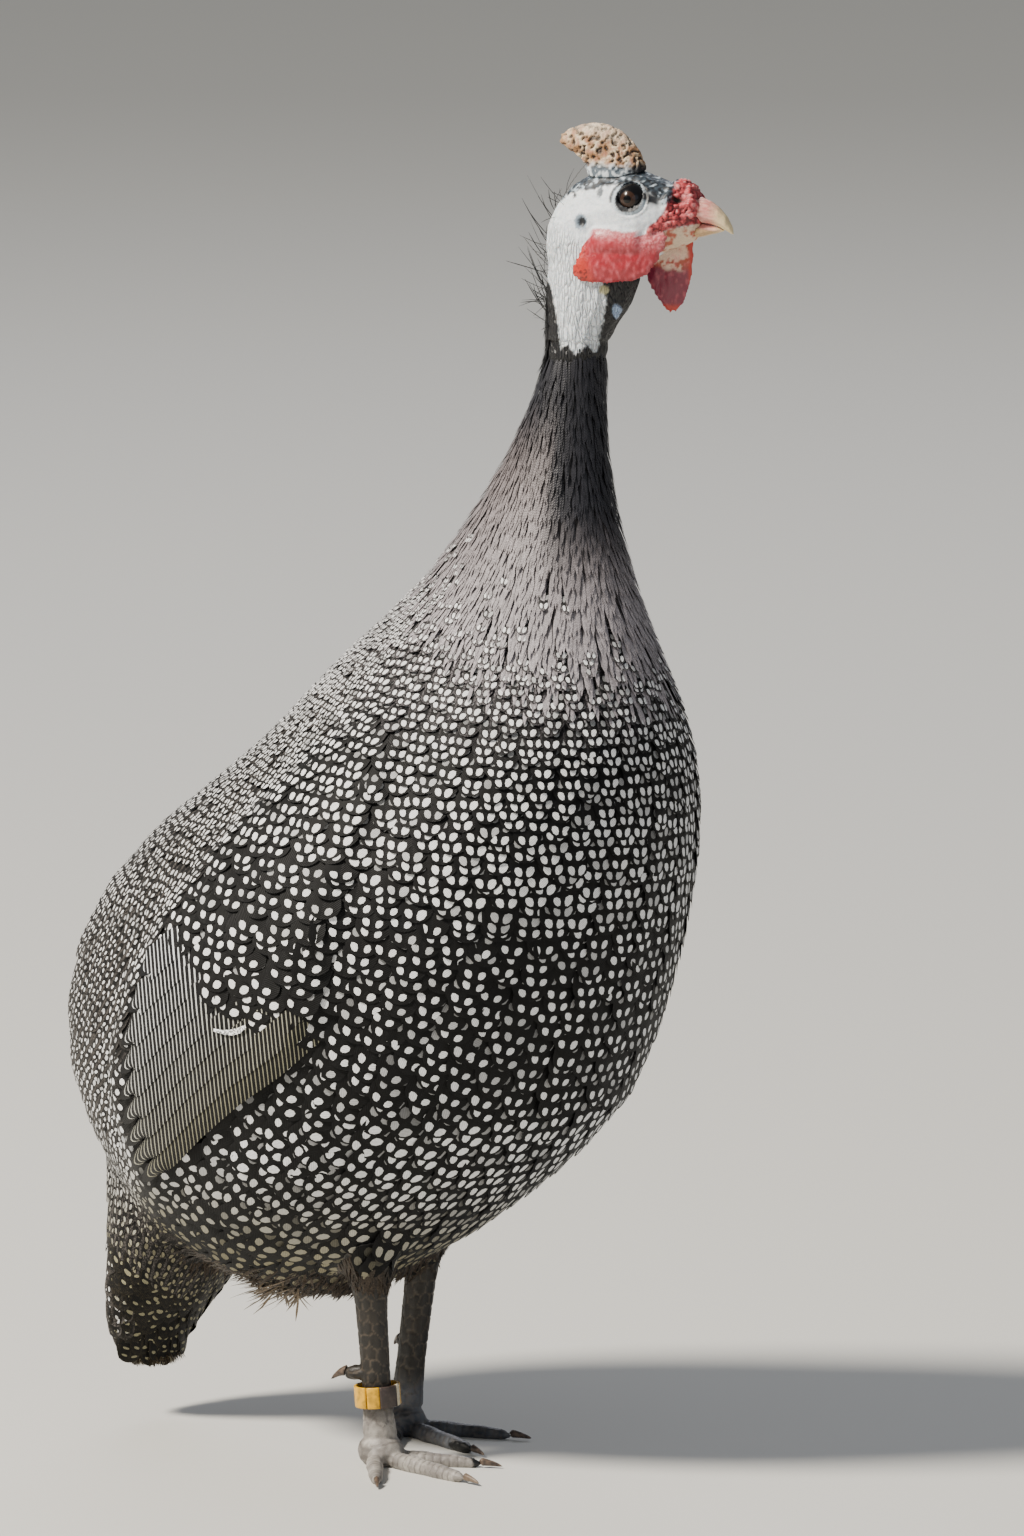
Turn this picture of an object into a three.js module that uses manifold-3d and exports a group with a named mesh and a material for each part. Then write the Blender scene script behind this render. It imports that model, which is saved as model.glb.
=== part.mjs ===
// A life-size still model of a pearl-grey helmeted guinea fowl, standing upright and alert.
// Millimetres, +Z up. The bird faces +X and its left side is +Y. The floor is z = 0.
// The plumage is one full-feathered outline: the slices below reach out to the feather tips.

import * as THREE from 'three';
import { mergeVertices } from 'three/addons/utils/BufferGeometryUtils.js';
import Module from 'manifold-3d';

// Clearance between pieces that touch
const GAP = 0.35;

// Level slices through the feathered body and neck, from the belly up.
// Each row: height, back edge and front edge along X, half width, and how much fuller the front is.
const BODY_SLICES = [
  [62, -22, -22, 0, 0],
  [64, -48, -14, 22, 0],
  [72, -80, -5, 42, 0.05],
  [90, -115, 28, 61, 0.1],
  [115, -140, 62, 77, 0.15],
  [145, -155, 93, 87, 0.18],
  [180, -156, 110, 91, 0.2],
  [215, -141, 121, 91, 0.2],
  [250, -106, 129, 86, 0.16],
  [280, -64, 132, 76, 0.1],
  [305, -37, 130, 63, 0.05],
  [330, -11, 123, 48, 0],
  [352, 15, 115, 35, 0],
  [375, 34, 109, 25, 0],
  [400, 52, 103.5, 18, 0],
  [425, 67, 101, 14, 0],
  [450, 77.5, 101.3, 12.2, 0],
  [462, 80, 101, 9, 0],
  [466, 90, 90, 0, 0],
];
const TRUNK_TOP = 325;
const LOWER_NECK_TOP = 388;
const UPPER_NECK_TOP = 456;

// The head stands over the neck and looks a little to its left
const SKULL_CENTRE = [103, 4.8, 507];
const HEAD_TURN_DEG = 20;

// Upright slices through the skull, along the head from the nape to the root of the bill.
// Each row: distance ahead of the skull centre, underside, crown, half width.
const SKULL_SLICES = [
  [-26.4, -13, -13, 0],
  [-24.8, -23, -3, 6.5],
  [-20.4, -30, 4.6, 10.3],
  [-13.6, -34, 11.8, 12.6],
  [-5, -33, 16, 14],
  [4, -29, 17.3, 14.8],
  [11, -24.5, 17, 14.8],
  [17, -18.5, 15.6, 13.6],
  [23, -14.5, 13, 11.2],
  [29, -12.5, 12.5, 9],
  [34, -10.5, 10, 7.4],
  [37, -6, 6, 4],
  [37.6, 0, 0, 0],
];

// Level slices through the bare throat, in the head's own frame: height, back, front, half width
const THROAT_SLICES = [
  [-66, -15, -15, 0],
  [-63, -24, -6, 8.5],
  [-55, -26.8, -3.2, 11.5],
  [-48, -26.7, 0.2, 12],
  [-43, -26.5, 3.2, 12.4],
  [-36, -26.4, 8, 13],
  [-29, -26.4, 10.5, 13.4],
  [-20, -26, 13, 13.4],
  [-10, -23, 12, 12],
  [-4, -12, 4, 5],
  [-2, -4, -4, 0],
];

// Helmet, level slices in the head's frame: height, back, front, half width
const CASQUE_SLICES = [
  [9, 2, 2, 0],
  [11, -8, 12, 6.5],
  [17, -10.6, 14.2, 7.4],
  [20.6, -12.6, 13.3, 6.8],
  [24.2, -18, 11.8, 6],
  [27.6, -22.4, 9.2, 5.3],
  [31, -20, 6, 4.3],
  [33.9, -13.5, 0.5, 2.8],
  [35.2, -6.5, -6.5, 0],
];

// Bill, upright slices in the head's frame: distance ahead, underside, ridge, half width
const UPPER_BILL_SLICES = [
  [28, 2, 2, 0],
  [29.5, -2.4, 8, 5],
  [36, -2.9, 7.6, 6],
  [41, -3.5, 5.8, 5.1],
  [45.2, -4.6, 2.5, 4],
  [48.8, -6.6, -2.2, 2.4],
  [50.2, -7.2, -7.2, 0],
];
const LOWER_BILL_SLICES = [
  [24, -7, -7, 0],
  [25.5, -9.4, -3.4, 4.4],
  [31, -9.6, -2.6, 5.2],
  [37, -8.6, -2.6, 4.9],
  [42, -7.1, -3.4, 3.7],
  [45.5, -6.2, -4.4, 1.9],
  [46.4, -5.4, -5.4, 0],
];

// Eyes, in the head's frame
const EYE_RADIUS = 6.2;
const EYE_AHEAD = 10.8;
const EYE_OUT = 7.7;
const EYE_UP = 6.8;

// Wattles, side outlines in the head's frame as distance ahead and height. The right one is
// swept back along the cheek and the left one hangs straight down below the gape.
const WATTLE_THICKNESS = 2.8;
const RIGHT_WATTLE = [[27, -7], [16, -4.4], [4, -3.6], [-5, -8.5], [-11.6, -20.5],
  [-9.5, -25.8], [0, -26.6], [16, -24.6], [23.5, -16]];
const LEFT_WATTLE = [[31, -10.5], [20, -9], [12, -14], [10, -26], [15, -35.5], [20, -41],
  [25.5, -37], [30, -24]];
// Where each one starts out from the middle of the head, how it flares and how it is bellied
const WATTLES = {
  right: { side: -1, outline: RIGHT_WATTLE, rootOut: 10.4, flareOut: 2.4, belly: 2 },
  left: { side: 1, outline: LEFT_WATTLE, rootOut: 8.6, flareOut: 2.2, belly: 1 },
};

// A folded wing: its side outline on the body as X and Z, from the shoulder round to the tip
const WING_OUTLINE = [[48, 313], [52, 292], [44, 258], [37, 226], [32, 200], [18, 172], [-14, 151],
  [-42, 130], [-70, 106], [-81, 112], [-88, 138], [-87, 165], [-75, 195], [-54, 226], [-26, 257],
  [6, 287], [30, 306]];
const WING_RISE = 6.5;
// At its rim the wing still stands this share of its rise above the body, and this far in it is full
const WING_RIM_SHARE = 0.35;
const WING_RAMP = 26;
// How much of the rise also pushes the wing fore and aft
const WING_RUN_SHARE = 0.4;
const WING_FROM_MIDDLE = 20;
const WING_QUILLS_FROM = [[60, 188], [-38, 188], [-100, 214]];

// Tail, level slices: height, back, front, half width
const TAIL_SLICES = [
  [26.5, -125, -125, 0],
  [28.5, -133, -118, 13],
  [34, -137.6, -114.5, 21.5],
  [44, -139.2, -111, 27.5],
  [57, -139.4, -96, 30.5],
  [75, -139.8, -80, 33.5],
  [95, -140.5, -64, 36.5],
  [115, -141, -58, 37],
  [128, -130, -70, 25],
  [132, -100, -100, 0],
];

// Legs: the foot stands at the pad, and the leg rises from it to the thigh
const LEGS = {
  right: { side: -1, pad: [12.5, -28], knee: [8.5, -34], turnDeg: -12, rearToeDeg: 196 },
  left: { side: 1, pad: [-20, 28], knee: [-9.5, 34], turnDeg: -20, rearToeDeg: 152 },
};
// Level slices of one leg: height, half depth fore and aft, half width
const LEG_SLICES = [
  [6, 0, 0],
  [7.5, 5.5, 4.8],
  [14, 7.4, 6.2],
  [24, 6.3, 5.2],
  [38, 6.3, 5],
  [55, 6.7, 5.4],
  [66, 7, 5.7],
  [74, 8.4, 7.2],
  [84, 12.5, 11],
  [98, 17, 14.5],
  [108, 12, 10],
  [111, 0, 0],
];
const SHANK_TOP = 64;

// Feet: a pad, three toes forward and a short raised one behind
const PAD_SIZE = [10.5, 8.6, 8];
const PAD_CENTRE_HEIGHT = 5.6;
const TOES = [
  { name: 'inner', splayDeg: 36, length: 37, root: [2, 4.6], radius: 3.6 },
  { name: 'middle', splayDeg: 0, length: 50, root: [3, 0], radius: 4 },
  { name: 'outer', splayDeg: -38, length: 42, root: [1, -4.6], radius: 3.7 },
];
const TOE_TIP_TAPER = 0.66;
const TOE_SINK = 0.8;
const TOE_KNUCKLE = 0.07;
const CLAW = { length: 10.5, radius: 1.9, drop: 1.6, overlap: 2.2, up: 0.9 };
const HALLUX = { height: 38.4, length: 13.5, radius: 3.9 };
const HALLUX_CLAW = { length: 8.5, radius: 2.5, drop: 4.4, overlap: 2.4, up: -0.9 };

// Leg ring: a split plastic band on the right shank with a darker panel
const RING_HEIGHT = 28.4;
const RING_TALL = 8.6;
const RING_INNER = 8;
const RING_WALL = 1.2;
const RING_PANEL = { fromDeg: -44, toDeg: 4 };
const RING_SPLIT_DEG = 3;

// A length well beyond the bird, for cutting blocks
const BEYOND = 400;

// How finely each piece is faceted: corners round it, and rings along it
const FINENESS = {
  body: [28, 25],
  skull: [16, 13],
  throat: [16, 8],
  eye: [12, 8],
  casque: [12, 10],
  bill: [10, 8],
  wattle: [16, 6],
  tail: [16, 10],
  leg: [10, 12],
  toe: [8, 9],
  claw: [6, 6],
  pad: [10, 7],
};

// Finishes
const FINISHES = {
  plumage: { color: 0x34353a, roughness: 0.75, metalness: 0 },
  neckPlumage: { color: 0x5b565a, roughness: 0.8, metalness: 0 },
  bareSkin: { color: 0xdfe3e6, roughness: 0.55, metalness: 0 },
  casqueHorn: { color: 0xb08b66, roughness: 0.7, metalness: 0 },
  billHorn: { color: 0xd9a595, roughness: 0.4, metalness: 0 },
  wattleSkin: { color: 0xc03038, roughness: 0.4, metalness: 0 },
  eye: { color: 0x2a1a12, roughness: 0.08, metalness: 0 },
  legScales: { color: 0x5a5047, roughness: 0.6, metalness: 0 },
  clawHorn: { color: 0x4a4038, roughness: 0.45, metalness: 0 },
  ringBand: { color: 0xe0b020, roughness: 0.35, metalness: 0 },
  ringPanel: { color: 0x3a3230, roughness: 0.4, metalness: 0 },
};

const wasm = await Module();
wasm.setup();

// Solids and meshes

function solidFrom(geometry) {
  const bare = geometry.clone();
  for (const name of ['normal', 'uv']) bare.deleteAttribute(name);
  const merged = mergeVertices(bare, 1e-4);
  return new wasm.Manifold(new wasm.Mesh({
    numProp: 3,
    vertProperties: new Float32Array(merged.attributes.position.array),
    triVerts: new Uint32Array(merged.index.array),
  }));
}

function geometryFrom(solid) {
  const mesh = solid.getMesh();
  const geometry = new THREE.BufferGeometry();
  geometry.setAttribute('position', new THREE.BufferAttribute(mesh.vertProperties.slice(), 3));
  geometry.setIndex(new THREE.BufferAttribute(mesh.triVerts.slice(), 1));
  geometry.computeVertexNormals();
  return geometry;
}

// A closed skin of rings from a base pole to a tip pole. place(t, angle) gives each corner:
// t runs from 0 at the base to 1 at the tip, and the angle turns about the way to the tip.
function ringed(segments, rings, place) {
  const geometry = new THREE.SphereGeometry(1, segments, rings);
  const corners = geometry.attributes.position;
  for (let i = 0; i < corners.count; i++) {
    const column = i % (segments + 1);
    const ring = Math.floor(i / (segments + 1));
    const angle = ((column % segments) / segments) * Math.PI * 2;
    const point = place(1 - ring / rings, angle);
    corners.setXYZ(i, point.x, point.y, point.z);
  }
  return geometry;
}

// A smooth reading of a table of slices: row(t) gives every column at t from 0 to 1
function smoothRows(table) {
  const columns = table[0].length;
  const curve = new THREE.CubicInterpolant(table.map((row, i) => i), table.flat(), columns);
  return (t) => curve.evaluate(t * (table.length - 1));
}

// A solid stacked from slices of [at, low, high, half width, fuller end], grown outwards evenly.
// An upright stack has level slices with low and high along X; one that runs ahead has
// upright slices along X with low and high along Z.
function stacked(table, segments, rings, { ahead = false, grow = 0 } = {}) {
  const row = smoothRows(table);
  return ringed(segments, rings, (t, angle) => {
    const [at, low, high, half, fuller = 0] = row(t);
    const atPole = t === 0 || t === 1;
    const spread = atPole ? 0 : grow;
    const along = at + (atPole ? Math.sign(t - 0.5) * grow : 0);
    const depth = Math.max((high - low) / 2, 0) + spread;
    const across = Math.max(half, 0) + spread;
    const run = (low + high) / 2 + (atPole ? 0 : depth * Math.cos(angle));
    const side = atPole ? 0 : across * Math.sin(angle) * (1 + fuller * Math.cos(angle));
    return ahead ? new THREE.Vector3(along, -side, run) : new THREE.Vector3(run, side, along);
  });
}

function slab(low, high) {
  const geometry = new THREE.BoxGeometry(2 * BEYOND, 2 * BEYOND, high - low);
  geometry.translate(0, 0, (low + high) / 2);
  return solidFrom(geometry);
}

const openAir = slab(0, 2 * BEYOND);

function aboveFloor(solid) {
  return solid.intersect(openAir);
}

function smoothLoop(corners) {
  return new THREE.SplineCurve([...corners, corners[0]].map(([x, z]) => new THREE.Vector2(x, z)));
}

// Closed outline drawn smoothly through its corners and given a thickness along Y
function plate(outline, low, high, divisions) {
  const shape = new THREE.Shape(smoothLoop(outline).getPoints(divisions).slice(0, -1));
  const geometry = new THREE.ExtrudeGeometry(shape, { depth: high - low, bevelEnabled: false });
  geometry.rotateX(Math.PI / 2);
  geometry.translate(0, high, 0);
  return geometry;
}

const bird = new THREE.Group();

function addPiece(name, solid, finish) {
  const mesh = new THREE.Mesh(geometryFrom(solid), new THREE.MeshStandardMaterial(FINISHES[finish]));
  mesh.name = name;
  bird.add(mesh);
}

// Head placing

const headPlace = new THREE.Matrix4()
  .makeRotationZ(THREE.MathUtils.degToRad(HEAD_TURN_DEG))
  .setPosition(...SKULL_CENTRE);

function onHead(geometry) {
  return solidFrom(geometry.applyMatrix4(headPlace));
}

// Body and neck, parted by thin level cuts

const bodySolid = (grow) => solidFrom(stacked(BODY_SLICES, ...FINENESS.body, { grow }));
const plainBody = bodySolid(0);
const clearBody = bodySolid(GAP);
const bodyBetween = (low, high) => plainBody.intersect(slab(low, high));

addPiece('trunk', bodyBetween(0, TRUNK_TOP), 'plumage');
addPiece('neck_lower', bodyBetween(TRUNK_TOP + GAP, LOWER_NECK_TOP), 'neckPlumage');
addPiece('neck_upper', bodyBetween(LOWER_NECK_TOP + GAP, UPPER_NECK_TOP), 'neckPlumage');

// Head with its bare throat, and what it carries

const skull = (grow) => onHead(stacked(SKULL_SLICES, ...FINENESS.skull, { ahead: true, grow }));
const throat = (grow) => onHead(stacked(THROAT_SLICES, ...FINENESS.throat, { grow }));

function eyeBall(side, grow) {
  const ball = new THREE.SphereGeometry(EYE_RADIUS + grow, ...FINENESS.eye);
  ball.translate(EYE_AHEAD, side * EYE_OUT, EYE_UP);
  return onHead(ball);
}

const aboveNeck = slab(UPPER_NECK_TOP + GAP, 2 * BEYOND);
let head = skull(0).add(throat(0)).add(plainBody).intersect(aboveNeck);
for (const side of [-1, 1]) head = head.subtract(eyeBall(side, GAP));
addPiece('head', head, 'bareSkin');
addPiece('eye_right', eyeBall(-1, 0), 'eye');
addPiece('eye_left', eyeBall(1, 0), 'eye');

const clearSkull = skull(GAP).add(throat(GAP));
const casque = onHead(stacked(CASQUE_SLICES, ...FINENESS.casque));
addPiece('casque', casque.subtract(clearSkull), 'casqueHorn');

const bill = (slices, grow) => onHead(stacked(slices, ...FINENESS.bill, { ahead: true, grow }));
const upperBill = (grow) => bill(UPPER_BILL_SLICES, grow);
const lowerBill = (grow) => bill(LOWER_BILL_SLICES, grow);
addPiece('bill_upper', upperBill(0).subtract(clearSkull), 'billHorn');
addPiece('bill_lower', lowerBill(0).subtract(clearSkull).subtract(upperBill(GAP)), 'billHorn');

// A wattle is a plate bellied outwards, hinged at the gape and standing off the cheek
function wattle({ side, outline, rootOut, flareOut, belly }) {
  const rim = smoothLoop(outline);
  const root = rim.points[0];
  const centre = new THREE.Vector2();
  for (const [x, z] of outline) centre.add(new THREE.Vector2(x, z).divideScalar(outline.length));
  const disc = ringed(...FINENESS.wattle, (t, angle) => {
    const radial = Math.sin(t * Math.PI);
    const turn = angle / (Math.PI * 2);
    const edge = rim.getPoint(side > 0 ? 1 - turn : turn);
    const spot = centre.clone().lerp(edge, radial);
    const fromRoot = spot.distanceTo(root) / centre.distanceTo(root);
    const middle = rootOut + flareOut * fromRoot + belly * (1 - radial * radial);
    const face = (WATTLE_THICKNESS / 2) * Math.cos(t * Math.PI);
    return new THREE.Vector3(spot.x, side * (middle - face), spot.y);
  });
  return onHead(disc);
}

const clearFace = clearSkull.add(upperBill(GAP)).add(lowerBill(GAP));
for (const [name, shape] of Object.entries(WATTLES)) {
  addPiece(`wattle_${name}`, wattle(shape).subtract(clearFace), 'wattleSkin');
}

// Wings: a raised leaf on each flank, thinning to nothing at its rim, parted where the long
// quills come out from under the coverts

const wingRim = smoothLoop(WING_OUTLINE).getPoints(90);

function fromWingRim(x, z) {
  return Math.min(...wingRim.map((point) => Math.hypot(point.x - x, point.y - z)));
}

// The body surface raised over the wing, highest away from the wing's rim
function raisedBody() {
  const row = smoothRows(BODY_SLICES);
  return ringed(...FINENESS.body, (t, angle) => {
    const [at, low, high, half, fuller] = row(t);
    const atPole = t === 0 || t === 1;
    const depth = atPole ? 0 : (high - low) / 2;
    const across = atPole ? 0 : half;
    const x = (low + high) / 2 + depth * Math.cos(angle);
    const y = across * Math.sin(angle) * (1 + fuller * Math.cos(angle));
    const rise = WING_RISE * Math.min(1, WING_RIM_SHARE + fromWingRim(x, at) / WING_RAMP);
    const turn = Math.atan2(y, x - (low + high) / 2);
    const run = rise * Math.cos(turn) * WING_RUN_SHARE;
    return new THREE.Vector3(x + run, y + rise * Math.sin(turn), at);
  });
}

function belowQuillLine(lift) {
  const corners = WING_QUILLS_FROM.map(([x, z]) => new THREE.Vector2(x, z + lift));
  const [front, back] = [corners[0].x, corners.at(-1).x];
  const shape = new THREE.Shape([...corners, new THREE.Vector2(back, 0), new THREE.Vector2(front, 0)]);
  const geometry = new THREE.ExtrudeGeometry(shape, { depth: 2 * BEYOND, bevelEnabled: false });
  geometry.rotateX(Math.PI / 2);
  geometry.translate(0, BEYOND, 0);
  return solidFrom(geometry);
}

const wingShell = solidFrom(raisedBody()).subtract(clearBody);
for (const [name, low, high] of [
  ['right', -BEYOND, -WING_FROM_MIDDLE],
  ['left', WING_FROM_MIDDLE, BEYOND],
]) {
  const wing = wingShell.intersect(solidFrom(plate(WING_OUTLINE, low, high, 30)));
  addPiece(`wing_${name}`, wing.subtract(belowQuillLine(GAP)), 'plumage');
  addPiece(`wing_quills_${name}`, wing.intersect(belowQuillLine(0)), 'plumage');
}

// Tail, hanging from the rump

addPiece('tail', solidFrom(stacked(TAIL_SLICES, ...FINENESS.tail)).subtract(clearBody), 'plumage');

// Legs and feet

function legCentre({ pad, knee }, height) {
  const [first, last] = [LEG_SLICES[0][0], LEG_SLICES.at(-1)[0]];
  const climb = (height - first) / (last - first);
  return [THREE.MathUtils.lerp(pad[0], knee[0], climb), THREE.MathUtils.lerp(pad[1], knee[1], climb)];
}

function legSolid(leg, grow = 0) {
  const row = smoothRows(LEG_SLICES);
  return solidFrom(ringed(...FINENESS.leg, (t, angle) => {
    const [at, depth, across] = row(t);
    const [x, y] = legCentre(leg, at);
    const atPole = t === 0 || t === 1;
    const run = atPole ? 0 : (depth + grow) * Math.cos(angle);
    const side = atPole ? 0 : (across + grow) * Math.sin(angle);
    return new THREE.Vector3(x + run, y + side, at);
  }));
}

// A toe lies along X from its root: rounded, knuckled, and flat where it meets the floor
function toeShape({ length, radius }, grow = 0) {
  return ringed(...FINENESS.toe, (t, angle) => {
    const rounding = Math.sqrt(Math.max(0, 1 - Math.abs(2 * t - 1) ** 7));
    const knuckle = 1 + TOE_KNUCKLE * Math.cos(t * Math.PI * 6);
    const taper = radius * THREE.MathUtils.lerp(1, TOE_TIP_TAPER, t);
    const thick = (taper * knuckle + grow) * rounding;
    const along = t * (length + 2 * grow) - grow;
    return new THREE.Vector3(along, -thick * Math.sin(angle), taper - TOE_SINK + thick * Math.cos(angle));
  });
}

// A claw runs ahead along X from the end of its toe and bends down, narrower than it is tall
function clawShape({ length, radius, drop, overlap, up }, toeLength, toeHeight) {
  const claw = ringed(...FINENESS.claw, (t, angle) => {
    const atPole = t === 0 || t === 1;
    const thick = atPole ? 0 : radius * (1 - 0.78 * t ** 1.3) * Math.min(1, 0.6 + t * 3);
    const middle = -drop * t * t;
    return new THREE.Vector3(t * length, -thick * 0.8 * Math.sin(angle), middle + thick * Math.cos(angle));
  });
  claw.translate(toeLength - overlap, 0, toeHeight + up);
  return claw;
}

function placed(geometry, turnDeg, [x, y, z]) {
  geometry.rotateZ(THREE.MathUtils.degToRad(turnDeg));
  geometry.translate(x, y, z);
  return geometry;
}

function ringArc(leg, fromDeg, toDeg) {
  const shape = new THREE.Shape();
  const start = THREE.MathUtils.degToRad(fromDeg);
  const end = THREE.MathUtils.degToRad(toDeg);
  shape.absarc(0, 0, RING_INNER + RING_WALL, start, end, false);
  shape.absarc(0, 0, RING_INNER, end, start, true);
  shape.closePath();
  const settings = { depth: RING_TALL, bevelEnabled: false, curveSegments: 9 };
  const geometry = new THREE.ExtrudeGeometry(shape, settings);
  geometry.translate(...legCentre(leg, RING_HEIGHT), RING_HEIGHT - RING_TALL / 2);
  return solidFrom(geometry);
}

for (const [name, leg] of Object.entries(LEGS)) {
  const padBall = (grow) => {
    const ball = new THREE.SphereGeometry(1, ...FINENESS.pad);
    ball.scale(...PAD_SIZE.map((size) => size + grow));
    return solidFrom(placed(ball, leg.turnDeg, [...leg.pad, PAD_CENTRE_HEIGHT]));
  };
  const clearPad = padBall(GAP);
  const whole = legSolid(leg);
  const thigh = whole.intersect(slab(SHANK_TOP + GAP, BEYOND)).subtract(clearBody);
  addPiece(`thigh_${name}`, thigh, 'plumage');
  addPiece(`shank_${name}`, whole.intersect(slab(0, SHANK_TOP)).subtract(clearPad), 'legScales');
  addPiece(`foot_pad_${name}`, aboveFloor(padBall(0)), 'legScales');

  for (const toe of TOES) {
    const splay = leg.turnDeg - leg.side * toe.splayDeg;
    const root = new THREE.Vector2(toe.root[0], -leg.side * toe.root[1])
      .rotateAround(new THREE.Vector2(), THREE.MathUtils.degToRad(leg.turnDeg))
      .add(new THREE.Vector2(...leg.pad));
    const place = [root.x, root.y, 0];
    const toeSolid = (grow) => solidFrom(placed(toeShape(toe, grow), splay, place));
    addPiece(`toe_${toe.name}_${name}`, aboveFloor(toeSolid(0).subtract(clearPad)), 'legScales');
    const claw = clawShape(CLAW, toe.length, toe.radius * TOE_TIP_TAPER - TOE_SINK);
    const clawPiece = solidFrom(placed(claw, splay, place)).subtract(toeSolid(GAP));
    addPiece(`claw_${toe.name}_${name}`, aboveFloor(clawPiece), 'clawHorn');
  }

  // The short toe behind is raised up the shank
  const stem = legCentre(leg, HALLUX.height);
  const stubPlace = [...stem, HALLUX.height - HALLUX.radius];
  const stub = (grow) => solidFrom(placed(toeShape(HALLUX, grow), leg.rearToeDeg, stubPlace));
  addPiece(`toe_rear_${name}`, stub(0).subtract(legSolid(leg, GAP)), 'legScales');
  const spur = clawShape(HALLUX_CLAW, HALLUX.length, 0);
  const spurSolid = solidFrom(placed(spur, leg.rearToeDeg, [...stem, HALLUX.height]));
  addPiece(`claw_rear_${name}`, spurSolid.subtract(stub(GAP)), 'clawHorn');
}

// Leg ring, its two parts split apart by a hair

const panelEnd = RING_PANEL.toDeg + RING_SPLIT_DEG;
const bandEnd = RING_PANEL.fromDeg + 360 - RING_SPLIT_DEG;
addPiece('leg_ring', ringArc(LEGS.right, panelEnd, bandEnd), 'ringBand');
addPiece('leg_ring_panel', ringArc(LEGS.right, RING_PANEL.fromDeg, RING_PANEL.toDeg), 'ringPanel');

// The finished model stands over the middle of its own outline
const middle = new THREE.Box3().setFromObject(bird).getCenter(new THREE.Vector3());
bird.position.set(-middle.x, -middle.y, 0);

export default bird;
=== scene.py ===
# A life-size still model of a pearl-grey helmeted guinea fowl, as a museum shows it: one skin under
# laid feathers, a horn helmet, glass eyes, horn bill and claws, and the plastic ring it wears.
# Metres, +Z up. The bird faces +X and its left side is +Y.

import math

import bmesh
import bpy
import numpy as np
from mathutils import Matrix, Vector, noise
from mathutils.bvhtree import BVHTree


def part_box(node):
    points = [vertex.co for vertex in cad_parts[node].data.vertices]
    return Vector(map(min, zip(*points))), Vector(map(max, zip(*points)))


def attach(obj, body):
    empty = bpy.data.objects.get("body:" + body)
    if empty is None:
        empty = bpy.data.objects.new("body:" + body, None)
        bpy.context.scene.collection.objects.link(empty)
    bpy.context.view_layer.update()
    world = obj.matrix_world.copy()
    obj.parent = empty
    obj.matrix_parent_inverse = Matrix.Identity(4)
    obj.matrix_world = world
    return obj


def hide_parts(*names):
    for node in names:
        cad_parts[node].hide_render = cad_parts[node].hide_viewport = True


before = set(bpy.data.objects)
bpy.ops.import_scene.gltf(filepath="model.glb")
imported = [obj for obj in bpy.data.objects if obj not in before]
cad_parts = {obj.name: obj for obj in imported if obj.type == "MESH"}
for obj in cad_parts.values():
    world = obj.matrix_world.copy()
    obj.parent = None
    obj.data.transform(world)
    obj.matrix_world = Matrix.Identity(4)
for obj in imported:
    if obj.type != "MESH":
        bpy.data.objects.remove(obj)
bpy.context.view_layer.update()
MM = 0.001
random = np.random.default_rng(11)

# The viewing angle of the photograph, at its own scale
VIEW_AZIMUTH = math.radians(38)
VIEW_ELEVATION = math.radians(9)
VIEW_DISTANCE = 8.0
VIEW_AIM_RIGHT = 0.0448
VIEW_AIM_UP = 0.2728
VIEW_SHIFT_X = 0.0035
VIEW_HEIGHT = 0.6144
SENSOR = 36
VIEW_RIGHT = np.array([math.cos(VIEW_AZIMUTH), math.sin(VIEW_AZIMUTH), 0])
VIEW_TOWARD = np.array([math.sin(VIEW_AZIMUTH), -math.cos(VIEW_AZIMUTH), math.tan(VIEW_ELEVATION)])
VIEW_TOWARD *= math.cos(VIEW_ELEVATION)
VIEW_UP = np.cross(VIEW_TOWARD, VIEW_RIGHT)

# The head's own frame: its centre, and how far it is turned to the left
HEAD_CENTRE = Vector((0.1065, 0.0048, 0.507))
HEAD_TURN = math.radians(20)
HEAD_PLACE = Matrix.Translation(HEAD_CENTRE) @ Matrix.Rotation(HEAD_TURN, 4, "Z")

# How deep the coat is over the skin
BODY_COAT = 0.006
NECK_COAT = 0.0022

# Where the bare skin of the neck gives way to feathers
NECK_LINE = 0.452

SIDES = {"right": -1, "left": 1}
TOES = ("inner", "middle", "outer", "rear")


# Colours and nodes

def linear(hex_colour):
    """An sRGB hex colour such as "a1b2c3" as linear red, green, blue and alpha."""
    parts = [int(hex_colour[i:i + 2], 16) / 255 for i in (0, 2, 4)]
    return tuple(c / 12.92 if c <= 0.04045 else ((c + 0.055) / 1.055) ** 2.4 for c in parts) + (1.0,)


def rgb(hex_colour):
    return np.array(linear(hex_colour)[:3])


def node(tree, kind, inputs=None, **settings):
    """Adds a node, with values or links for its inputs and plain settings for the rest."""
    made = tree.nodes.new(kind)
    for name, value in settings.items():
        setattr(made, name, value)
    for name, value in (inputs or {}).items():
        if isinstance(value, bpy.types.NodeSocket):
            tree.links.new(value, made.inputs[name])
        else:
            made.inputs[name].default_value = value
    return made


def new_material(name):
    material = bpy.data.materials.new(name)
    material.use_nodes = True
    material.node_tree.nodes.clear()
    return material, material.node_tree


def surface(tree, shader, height=None, strength=0.3, distance=0.0003):
    """Ends a material, with a bump on its shader where a height is given."""
    if height is not None:
        bump = node(tree, "ShaderNodeBump", {"Height": height, "Strength": strength, "Distance": distance})
        tree.links.new(bump.outputs[0], shader.inputs["Normal"])
    node(tree, "ShaderNodeOutputMaterial", {"Surface": shader.outputs[0]})


# Mesh helpers

def link(name, mesh):
    made = bpy.data.objects.new(name, mesh)
    bpy.context.scene.collection.objects.link(made)
    return made


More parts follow.
